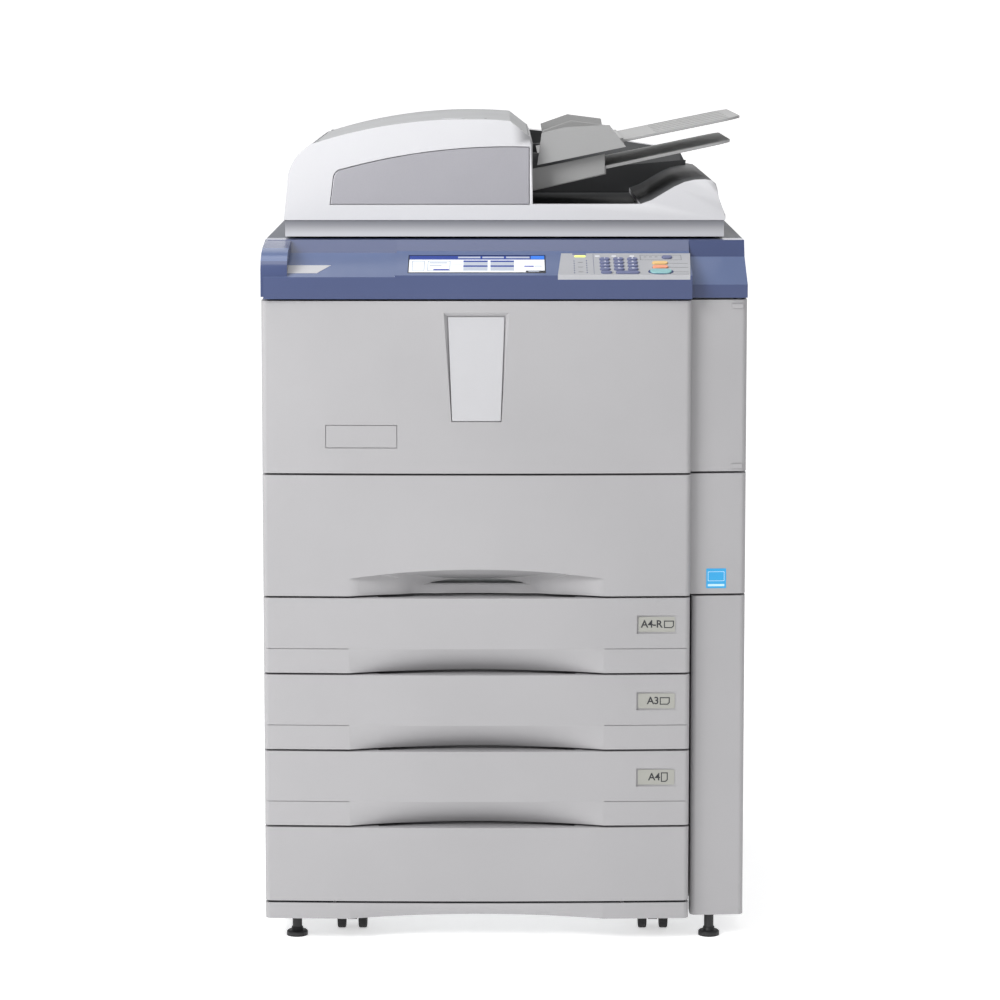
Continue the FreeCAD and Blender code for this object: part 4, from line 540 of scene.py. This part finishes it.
plateMarks = {
    "barX": 108 * mm, "barUp": 84 * mm, "barWidth": 20 * mm, "lampUp": 75 * mm, "divider": 128 * mm,
    "markLeft": 100 * mm, "markRight": 118 * mm, "markRows": 6, "markStart": 8 * mm, "markPitch": 9.6 * mm,
}
lampMarks = {"places": (134, 158, 184), "up": 76, "width": 7, "height": 3.2, "round": 1.2, "thick": 0.4}  # in mm
functionKey = {"x": 145.5, "up": 8, "width": 16, "height": 8, "round": 3.8, "proud": 2.0}  # in mm
powerBox = {"left": 196, "right": 255, "low": 61, "high": 80, "line": 0.5}  # in mm, the frame round the power key
powerDashes = {"first": 203, "pitch": 8, "count": 3, "up": 73, "width": 4, "height": 1.2}  # in mm
sideLines = {"ups": (46.5, 30.0, 12.0, 3.0), "x": 250, "width": 27, "height": 0.6}  # in mm, between the big keys
plateOut = panelSizes["plateProud"]
bm = bmesh.new()
thin = panelSizes["print"]


def plateBar(x, up, width, height, index, radius=0.0, thick=thin):
    inlay(bm, shapeOutline(width, height, radius), onSlope(x, up, plateOut - 0.02 * mm), thick, index)


plateBar(plateMarks["barX"], plateMarks["barUp"], plateMarks["barWidth"], 5 * mm, 0, 1.2 * mm, 0.6 * mm)
plateBar(plateMarks["barX"] + 1 * mm, plateMarks["lampUp"], 16 * mm, 6 * mm, 1, 1.0 * mm, 0.5 * mm)
plateBar(plateMarks["divider"], 44 * mm, 0.5 * mm, 82 * mm, 2)
for row in range(plateMarks["markRows"]):
    up = plateMarks["markStart"] + row * plateMarks["markPitch"]
    plateBar(plateMarks["markLeft"], up, 1.6 * mm, 3.6 * mm, 2)
    plateBar(plateMarks["markRight"], up + 1 * mm, 1.6 * mm, 3.6 * mm, 2)
    if row % 2 == 0:
        plateBar((plateMarks["markLeft"] + plateMarks["markRight"]) / 2, up + 4 * mm, 7 * mm, 1.0 * mm, 3)
for x in lampMarks["places"]:
    plateBar(x * mm, lampMarks["up"] * mm, lampMarks["width"] * mm, lampMarks["height"] * mm, 4,
             lampMarks["round"] * mm, lampMarks["thick"] * mm)
plateBar(functionKey["x"] * mm, functionKey["up"] * mm, functionKey["width"] * mm, functionKey["height"] * mm, 0,
         functionKey["round"] * mm, functionKey["proud"] * mm)
boxMiddleX = (powerBox["left"] + powerBox["right"]) / 2 * mm
boxMiddleUp = (powerBox["low"] + powerBox["high"]) / 2 * mm
for up in (powerBox["high"], powerBox["low"]):
    plateBar(boxMiddleX, up * mm, (powerBox["right"] - powerBox["left"]) * mm, powerBox["line"] * mm, 3)
for x in (powerBox["left"], powerBox["right"]):
    plateBar(x * mm, boxMiddleUp, powerBox["line"] * mm, (powerBox["high"] - powerBox["low"]) * mm, 3)
for i in range(powerDashes["count"]):
    plateBar((powerDashes["first"] + powerDashes["pitch"] * i) * mm, powerDashes["up"] * mm,
             powerDashes["width"] * mm, powerDashes["height"] * mm, 3)
for up in sideLines["ups"]:
    plateBar(sideLines["x"] * mm, up * mm, sideLines["width"] * mm, sideLines["height"] * mm, 3)
keyMarks = newObject("key_plate_marks", meshFromBmesh(bm, "key_plate_marks"), *[
    materials[key] for key in ("slate", "litLime", "inkBlue", "inkDark", "inkWhite")
])
finishPiece(keyMarks, "cabinet")

startX, startUp = slopeCentre("key_start")
bm = bmesh.new()
ring = 40  # corners
radii = ((15.9, 8.9), (18.2, 11.0))  # in mm, across and up, inside and outside
loops = []
for out in (plateOut - 0.1 * mm, plateOut + 0.5 * mm):
    for rx, ry in radii:
        loops.append([
            bm.verts.new(onSlope(startX, startUp, out) @ Vector((
                rx * mm * math.cos(2 * math.pi * i / ring), ry * mm * math.sin(2 * math.pi * i / ring), 0)))
            for i in range(ring)
        ])
for i in range(ring):
    j = (i + 1) % ring
    bm.faces.new((loops[2][i], loops[3][i], loops[3][j], loops[2][j]))
    bm.faces.new((loops[1][i], loops[1][j], loops[3][j], loops[3][i]))
    bm.faces.new((loops[0][j], loops[0][i], loops[2][i], loops[2][j]))
    bm.faces.new((loops[0][i], loops[0][j], loops[1][j], loops[1][i]))
bmesh.ops.recalc_face_normals(bm, faces=bm.faces)
startRing = newObject("start_key_ring", meshFromBmesh(bm, "start_key_ring"), materials["inkBlue"])
finishPiece(startRing, "cabinet")

# in mm, on the lowered left part of the slope
paletteSizes = {"topLeft": -336, "topRight": -250, "bottomLeft": -331, "bottomRight": -269, "low": 15, "high": 47}
# a pale parallelogram inlaid on the slope
bm = bmesh.new()
outline = [
    (paletteSizes[corner] * mm, paletteSizes[level] * mm)
    for corner, level in (("bottomLeft", "low"), ("bottomRight", "low"), ("topRight", "high"), ("topLeft", "high"))
]
inlay(bm, outline, onSlope(0, 0, -panelSizes["leftDrop"] - 0.1 * mm), 0.5 * mm)
paleInlay = newObject("panel_rest_plate", meshFromBmesh(bm, "panel_rest_plate"), materials["pale"])
finishPiece(paleInlay, "cabinet")
print("control panel dressed")


# The tangent frame on top of a piece, at the given X and depth.
def surfaceUnder(piece, x, depth):
    tree = BVHTree.FromPolygons([v.co for v in piece.data.vertices], [p.vertices for p in piece.data.polygons])
    spot, normal, _, _ = tree.ray_cast(Vector((x, cadLow.y + depth, cadHigh.z + 0.5)), Vector((0, 0, -1)))
    turn = Vector((0, 0, 1)).rotation_difference(normal)
    return Matrix.Translation(spot) @ turn.to_matrix().to_4x4()


frontFacing = Matrix.Rotation(math.pi / 2, 4, "X")
frontLines = {"seamX": -157 * mm, "lipLow": 942 * mm, "lipHigh": 972.5 * mm, "slotLeft": -335 * mm,
              "slotRight": -255 * mm, "slotZ": 941.6 * mm, "seamHalf": 0.5 * mm, "slotHalf": 1.4 * mm}
bm = bmesh.new()


def frontBar(x0, x1, z0, z1, setBack, thick, index=0):
    middle = Matrix.Translation(((x0 + x1) / 2, cadLow.y + setBack, (z0 + z1) / 2))
    inlay(bm, shapeOutline(x1 - x0, z1 - z0), middle @ frontFacing, thick, index)


# a pale line at the step in the lip is painted highlight
frontBar(frontLines["seamX"] - frontLines["seamHalf"], frontLines["seamX"] + frontLines["seamHalf"],
         frontLines["lipLow"], frontLines["lipHigh"], 1.1 * mm, 0.5 * mm)
# a dark strip set into the slot under the lip's left end is painted shade
frontBar(frontLines["slotLeft"], frontLines["slotRight"], frontLines["slotZ"] - frontLines["slotHalf"],
         frontLines["slotZ"] + frontLines["slotHalf"], 6.3 * mm, 2.0 * mm, 1)
panelLines = newObject("panel_lines", meshFromBmesh(bm, "panel_lines"), materials["blueEdgeHighlight"], materials["edgeShade"])
finishPiece(panelLines, "cabinet")

topMarks = {
    "recessX": -76 * mm, "recessDepth": 196 * mm, "dotX": -28 * mm, "dotDepth": 205 * mm, "facetX": 24 * mm,
    "facetDepth": 158 * mm,
}
bm = bmesh.new()
# a pale patch on the cover over the finger recess is painted highlight of its lit face
spot = surfaceUnder(skins["adf_cover"], topMarks["recessX"], topMarks["recessDepth"])
markSink = Matrix.Translation((0, 0, -0.3 * mm))
inlay(bm, [(-12 * mm, -7 * mm), (12 * mm, -7 * mm), (17 * mm, 7 * mm), (-17 * mm, 7 * mm)], spot @ markSink, 0.7 * mm)
spot = surfaceUnder(skins["adf_cover"], topMarks["dotX"], topMarks["dotDepth"])
inlay(bm, shapeOutline(3.4 * mm, 3.4 * mm, 1.6 * mm, 4), spot @ markSink, 0.5 * mm, 1)
topDetail = newObject("feeder_top_marks", meshFromBmesh(bm, "feeder_top_marks"), materials["white"],
                      materials["edgeShade"])
finishPiece(topDetail, "feeder_cover")
bm = bmesh.new()
spot = surfaceUnder(skins["adf_housing"], topMarks["facetX"], topMarks["facetDepth"])
inlay(bm, shapeOutline(2.6 * mm, 2.6 * mm, 1.2 * mm, 4), spot @ markSink, 0.5 * mm)
facetDot = newObject("feeder_facet_lamp", meshFromBmesh(bm, "feeder_facet_lamp"), materials["edgeShade"])
finishPiece(facetDot, "feeder")

# a dark sheet of painted shade closes the seam over the skirt, in front of the foot's stem
shadeSheetSizes = {
    "left": -345.5 * mm, "right": 265 * mm, "front": 26 * mm, "back": 32 * mm, "low": 49 * mm, "thick": 9.5 * mm,
}
bm = bmesh.new()
place = Matrix.Translation((
    (shadeSheetSizes["left"] + shadeSheetSizes["right"]) / 2, cadLow.y + (shadeSheetSizes["front"] + shadeSheetSizes["back"]) / 2,
    shadeSheetSizes["low"]
))
inlay(bm, shapeOutline(shadeSheetSizes["right"] - shadeSheetSizes["left"], shadeSheetSizes["back"] - shadeSheetSizes["front"]), place,
      shadeSheetSizes["thick"])
shadeSheet = newObject("skirt_seal", meshFromBmesh(bm, "skirt_seal"), materials["edgeShade"])
finishPiece(shadeSheet, "cabinet")

# strips that close the slit between the exit deck and the feeder's rear wall: depth, thickness, finish, slot, outline
deckStrips = {
    # the deck strip wears the deck grey with its painted shade
    "deck_back_strip": (596 * mm, 2.5 * mm, "deck", "tray_grey", (
        (42, 1061), (199, 1061), (217, 1074), (248, 1092), (288, 1100), (289, 1112), (150, 1100), (42, 1100))),
    "feeder_back_strip": (651.5 * mm, 2.9 * mm, "white", "feeder_white", (
        (100, 1062), (262, 1062), (262, 1092), (100, 1092))),
}
for name, (depth, thick, finish, slot, outline) in deckStrips.items():
    bm = bmesh.new()
    place = Matrix.Translation((0, cadLow.y + depth + thick, 0)) @ frontFacing
    inlay(bm, [(x * mm, z * mm) for x, z in outline], place, thick)
    finishPiece(newObject(name, meshFromBmesh(bm, name), materials[finish]), "feeder")
print("panel and feeder lines made")


# Rows of ribs and screws, all from one node tree.
def buildRowTree():
    group = bpy.data.node_groups.new("rowOfItems", "GeometryNodeTree")
    sockets = {}
    for label, kind in (("Count", "NodeSocketInt"), ("Start", "NodeSocketVector"), ("Step", "NodeSocketVector"),
                        ("Item", "NodeSocketObject"), ("Finish", "NodeSocketMaterial")):
        sockets[label] = group.interface.new_socket(label, in_out="INPUT", socket_type=kind).identifier
    group.interface.new_socket("Geometry", in_out="OUTPUT", socket_type="NodeSocketGeometry")
    given = addNode(group, "NodeGroupInput").outputs
    line = addNode(group, "GeometryNodeMeshLine", {
        "Count": given["Count"], "Start Location": given["Start"], "Offset": given["Step"],
    })
    item = addNode(group, "GeometryNodeObjectInfo", {"Object": given["Item"]})
    spread = addNode(group, "GeometryNodeInstanceOnPoints", {
        "Points": line.outputs["Mesh"], "Instance": item.outputs["Geometry"],
    })
    solid = addNode(group, "GeometryNodeRealizeInstances", {"Geometry": spread.outputs["Instances"]})
    done = addNode(group, "GeometryNodeSetMaterial", {
        "Geometry": solid.outputs["Geometry"], "Material": given["Finish"],
    })
    addNode(group, "NodeGroupOutput", {"Geometry": done.outputs["Geometry"]})
    return group, sockets


rowTree, rowSockets = buildRowTree()


def rowPiece(name, itemMesh, start, step, count, finish, body, turn=None):
    item = newObject(name + "_item", itemMesh)
    piece = newObject(name, bpy.data.meshes.new(name))
    modifier = piece.modifiers.new("row", "NODES")
    modifier.node_group = rowTree
    for label, value in (("Count", count), ("Start", start), ("Step", step), ("Item", item),
                         ("Finish", materials[finish])):
        modifier[rowSockets[label]] = value
    bakeModifiers(piece)
    bpy.data.objects.remove(item)
    if turn:
        piece.data.transform(turn)
    return finishPiece(piece, body)


def ribMesh(length, width, height):
    bm = bmesh.new()
    lower, upper = (length / 2, width / 2), (length / 2 - height, width / 2 - height * 0.4)
    bottom = [bm.verts.new((sx * lower[0], sy * lower[1], 0)) for sx, sy in ((-1, -1), (1, -1), (1, 1), (-1, 1))]
    top = [bm.verts.new((sx * upper[0], sy * upper[1], height)) for sx, sy in ((-1, -1), (1, -1), (1, 1), (-1, 1))]
    bm.faces.new(top)
    bm.faces.new(bottom[::-1])
    for i in range(4):
        j = (i + 1) % 4
        bm.faces.new((bottom[i], bottom[j], top[j], top[i]))
    return meshFromBmesh(bm, "rib")


# a pan head with a cross recess, facing along +Z before it is turned
def screwMesh(radius, height):
    bm = bmesh.new()
    sides = 20
    rings = []
    for share, z in ((1.0, 0.0), (1.0, 0.45), (0.86, 0.8), (0.6, 1.0)):
        rings.append([bm.verts.new((radius * share * math.cos(2 * math.pi * i / sides),
                                    radius * share * math.sin(2 * math.pi * i / sides), height * z))
                      for i in range(sides)])
    slot = [bm.verts.new((radius * (0.42 if i % 5 == 0 else 0.16) * math.cos(2 * math.pi * i / sides),
                          radius * (0.42 if i % 5 == 0 else 0.16) * math.sin(2 * math.pi * i / sides), height * 0.97))
            for i in range(sides)]
    pit = [bm.verts.new((v.co.x * 0.8, v.co.y * 0.8, height * 0.35)) for v in slot]
    loops = rings + [slot, pit]
    for a, b in zip(loops, loops[1:]):
        for i in range(sides):
            j = (i + 1) % sides
            bm.faces.new((a[i], a[j], b[j], b[i]))
    bm.faces.new(pit)
    bm.faces.new(rings[0][::-1])
    return meshFromBmesh(bm, "screw")


# the ribs stay clear of the sliding guides and of the part of the extension that goes into the tray
traySizes = {
    "tiltX": 54 * mm, "tiltZ": 1134 * mm, "angle": math.radians(11.5), "ribHeight": 0.9 * mm, "ribWidth": 5 * mm,
}
trayTurn = (
    Matrix.Translation((traySizes["tiltX"], 0, traySizes["tiltZ"])) @ Matrix.Rotation(-traySizes["angle"], 4, "Y")
)
# sizes in mm, along the tilted tray
ribRows = {
    "extension_ribs": {
        "length": 112, "middle": 228, "firstDepth": 210, "top": 1.95, "pitch": 56, "count": 6,
        "body": "tray_extension",
    },
    "tray_ribs": {
        "length": 80, "middle": 64, "firstDepth": 330, "top": 4.45, "pitch": 20, "count": 3,
        "body": "document_tray",
    },
}
for name, row in ribRows.items():
    rowPiece(name, ribMesh(row["length"] * mm, traySizes["ribWidth"], traySizes["ribHeight"]),
             (row["middle"] * mm, cadLow.y + row["firstDepth"] * mm, row["top"] * mm), (0, row["pitch"] * mm, 0),
             row["count"], "tray", row["body"], trayTurn)
rearFace = Matrix.Rotation(-math.pi / 2, 4, "X")
screwSizes = {"radius": 4.2 * mm, "height": 0.8 * mm, "edgeX": 322, "lowest": 90 * mm, "pitch": 205 * mm, "count": 5}
for side, x in (("left", -screwSizes["edgeX"] * mm), ("right", screwSizes["edgeX"] * mm)):
    place = Matrix.Translation((x, cadHigh.y - screwSizes["height"], screwSizes["lowest"])) @ rearFace
    rowPiece(f"rear_screws_{side}", screwMesh(screwSizes["radius"], screwSizes["height"]), (0, 0, 0),
             (0, -screwSizes["pitch"], 0), screwSizes["count"], "steel", "cabinet", place)
print("rows made")


# Paper size cards in the drawer fronts.
cardSizes = {"width": 53 * mm, "height": 22 * mm, "thick": 0.8 * mm, "text": 15.2 * mm, "middleX": 220 * mm,
             "aboveSeam": 72.5 * mm, "pocketDepth": 1.6 * mm, "seamHalf": 1.5 * mm, "bow": 7 * mm,
             "bowMiddle": -40.5 * mm, "bowReach": 308.5 * mm}
for number, (words, upright) in enumerate((("A4-R", False), ("A3", False), ("A4", True)), start=1):
    low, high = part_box(f"drawer_face_{number}")
    seam = low[2] - cardSizes["seamHalf"]
    bowed = cardSizes["bow"] * ((cardSizes["middleX"] - cardSizes["bowMiddle"]) / cardSizes["bowReach"]) ** 2
    floorY = cadLow.y + bowed + cardSizes["pocketDepth"]
    centre = Vector((cardSizes["middleX"], floorY + 0.05 * mm, seam + cardSizes["aboveSeam"]))
    place = Matrix.Translation(centre) @ frontFacing
    bm = bmesh.new()
    inlay(bm, shapeOutline(cardSizes["width"], cardSizes["height"], 1.5 * mm), place, cardSizes["thick"], 0)
    iconX = (17.5 if len(words) > 2 else 12.0) * mm
    iconWide, iconHigh = (10.0 * mm, 14.0 * mm) if upright else (14.5 * mm, 11.0 * mm)
    face = place @ Matrix.Translation((iconX, 0, cardSizes["thick"]))
    fold = 3 * mm
    w, h = iconWide / 2, iconHigh / 2
    page = [(-w, -h), (w - fold, -h), (w, -h + fold), (w, h), (-w, h)]
    rim = 1.5 * mm
    inside = [
        (-w + rim, -h + rim), (w - fold, -h + rim), (w - rim, -h + fold), (w - rim, h - rim), (-w + rim, h - rim),
    ]
    inlay(bm, page, face, 0.1 * mm, 1)
    inlay(bm, inside, face @ Matrix.Translation((0, 0, 0.08 * mm)), 0.06 * mm, 0)
    inlay(bm, [(w - fold, -h), (w, -h + fold), (w - fold, -h + fold)], face @ Matrix.Translation((0, 0, 0.1 * mm)),
          0.1 * mm, 1)
    wordX = iconX - iconWide / 2 - 1.8 * mm - len(words) * 3.95 * mm
    wordPlace = place @ Matrix.Translation((wordX, 0, cardSizes["thick"] + 0.05 * mm))
    letters = textMesh(words, cardSizes["text"], wordPlace, 0.1 * mm, 0.96, 0.28 * mm)
    start = len(bm.faces)
    bm.from_mesh(letters)
    bm.faces.ensure_lookup_table()
    for polygon in bm.faces[start:]:
        polygon.material_index = 1
    card = newObject(f"size_card_{number}", meshFromBmesh(bm, f"size_card_{number}"), materials["labelPlate"],
                     materials["inkDark"])
    finishPiece(card, f"drawer_{number}")
print("size cards made")


# A plain blue sticker on the column.
stickerSizes = {"side": 29 * mm, "middleX": 306.5 * mm, "middleZ": 532 * mm, "setBack": 26.4 * mm, "slant": 5 / 78}
angle = math.atan(stickerSizes["slant"])
centre = Vector((stickerSizes["middleX"], cadLow.y + stickerSizes["setBack"], stickerSizes["middleZ"]))
place = Matrix.Translation(centre) @ Matrix.Rotation(angle, 4, "Z") @ frontFacing
bm = bmesh.new()
inlay(bm, shapeOutline(stickerSizes["side"], stickerSizes["side"], 1 * mm), place, 0.15 * mm, 0)
# a pale bar below a pale rounded frame: width, height, corner, up, out, material
stickerMarks = ((24, 3.2, 0, -10, 0.12, 1), (24, 14, 1, 3, 0.12, 1), (22.6, 12.6, 1, 3, 0.17, 0))
for wide, high, corner, up, out, index in stickerMarks:
    inlay(bm, shapeOutline(wide * mm, high * mm, corner * mm), place @ Matrix.Translation((0, up * mm, out * mm)),
          0.08 * mm, index)
sticker = newObject("column_sticker", meshFromBmesh(bm, "column_sticker"), materials["sticker"],
                    materials["stickerPale"])
finishPiece(sticker, "cabinet")


# Floor, lights and camera.
stageSizes = {"floor": 30.0, "sweepBack": 9.0, "wallHeight": 12.0, "sweepRadius": 3.0}
bm = bmesh.new()
profile = [(-stageSizes["floor"] / 2, 0.0), (stageSizes["sweepBack"], 0.0)]
for step in range(1, 13):
    a = math.radians(90 * step / 12)
    profile.append((
        stageSizes["sweepBack"] + stageSizes["sweepRadius"] * math.sin(a),
        stageSizes["sweepRadius"] * (1 - math.cos(a))
    ))
profile.append((stageSizes["sweepBack"] + stageSizes["sweepRadius"], stageSizes["wallHeight"]))
rows = [[bm.verts.new((x, y, z)) for y, z in profile] for x in (-stageSizes["floor"] / 2, stageSizes["floor"] / 2)]
for i in range(len(profile) - 1):
    bm.faces.new((rows[0][i], rows[1][i], rows[1][i + 1], rows[0][i + 1]))
floorPiece = newObject("studio_floor", meshFromBmesh(bm, "studio_floor"))
paper, tree, shader, where = newMaterial("studio paper")
shader.inputs["Base Color"].default_value = hexToLinear("#F4F4F4")
shader.inputs["Roughness"].default_value = 0.9
shader.inputs["Emission Color"].default_value = (1.0, 1.0, 1.0, 1.0)
shader.inputs["Emission Strength"].default_value = 0.56
floorPiece.data.materials.append(paper)
floorPiece.data.shade_smooth()

world = bpy.data.worlds.new("studio")
scene.world = world
world.use_nodes = True
world.node_tree.nodes["Background"].inputs["Color"].default_value = (1.0, 1.0, 1.0, 1.0)
world.node_tree.nodes["Background"].inputs["Strength"].default_value = 0.385

lightPlan = {
    "keyLeft": {"at": (-1.8, -2.1, 2.3), "aim": (-0.25, 0.0, 0.95), "size": 1.4, "power": 75},
    "topSoft": {"at": (-0.3, -0.5, 3.8), "aim": (0.0, -0.1, 0.9), "size": 2.6, "power": 45},
}
for name, plan in lightPlan.items():
    lamp = bpy.data.lights.new(name, "AREA")
    lamp.shape = "SQUARE"
    lamp.size = plan["size"]
    lamp.energy = plan["power"]
    holder = bpy.data.objects.new(name, lamp)
    scene.collection.objects.link(holder)
    holder.location = plan["at"]
    holder.rotation_euler = (Vector(plan["aim"]) - Vector(plan["at"])).to_track_quat("-Z", "Y").to_euler()

cameraPlan = {"x": -0.0067, "ahead": 5.0, "height": 1.365, "pitch": 0.1135, "lens": 126.4, "shift": -0.1}
lens = bpy.data.cameras.new("camera")
lens.sensor_width = 36
lens.lens = cameraPlan["lens"]
lens.shift_y = cameraPlan["shift"]
camera = bpy.data.objects.new("camera", lens)
scene.collection.objects.link(camera)
camera.location = (cameraPlan["x"], cadLow.y - cameraPlan["ahead"], cameraPlan["height"])
camera.rotation_euler = (math.pi / 2 - cameraPlan["pitch"], 0, 0)
scene.camera = camera
scene.view_settings.view_transform = "Standard"
print("stage set")
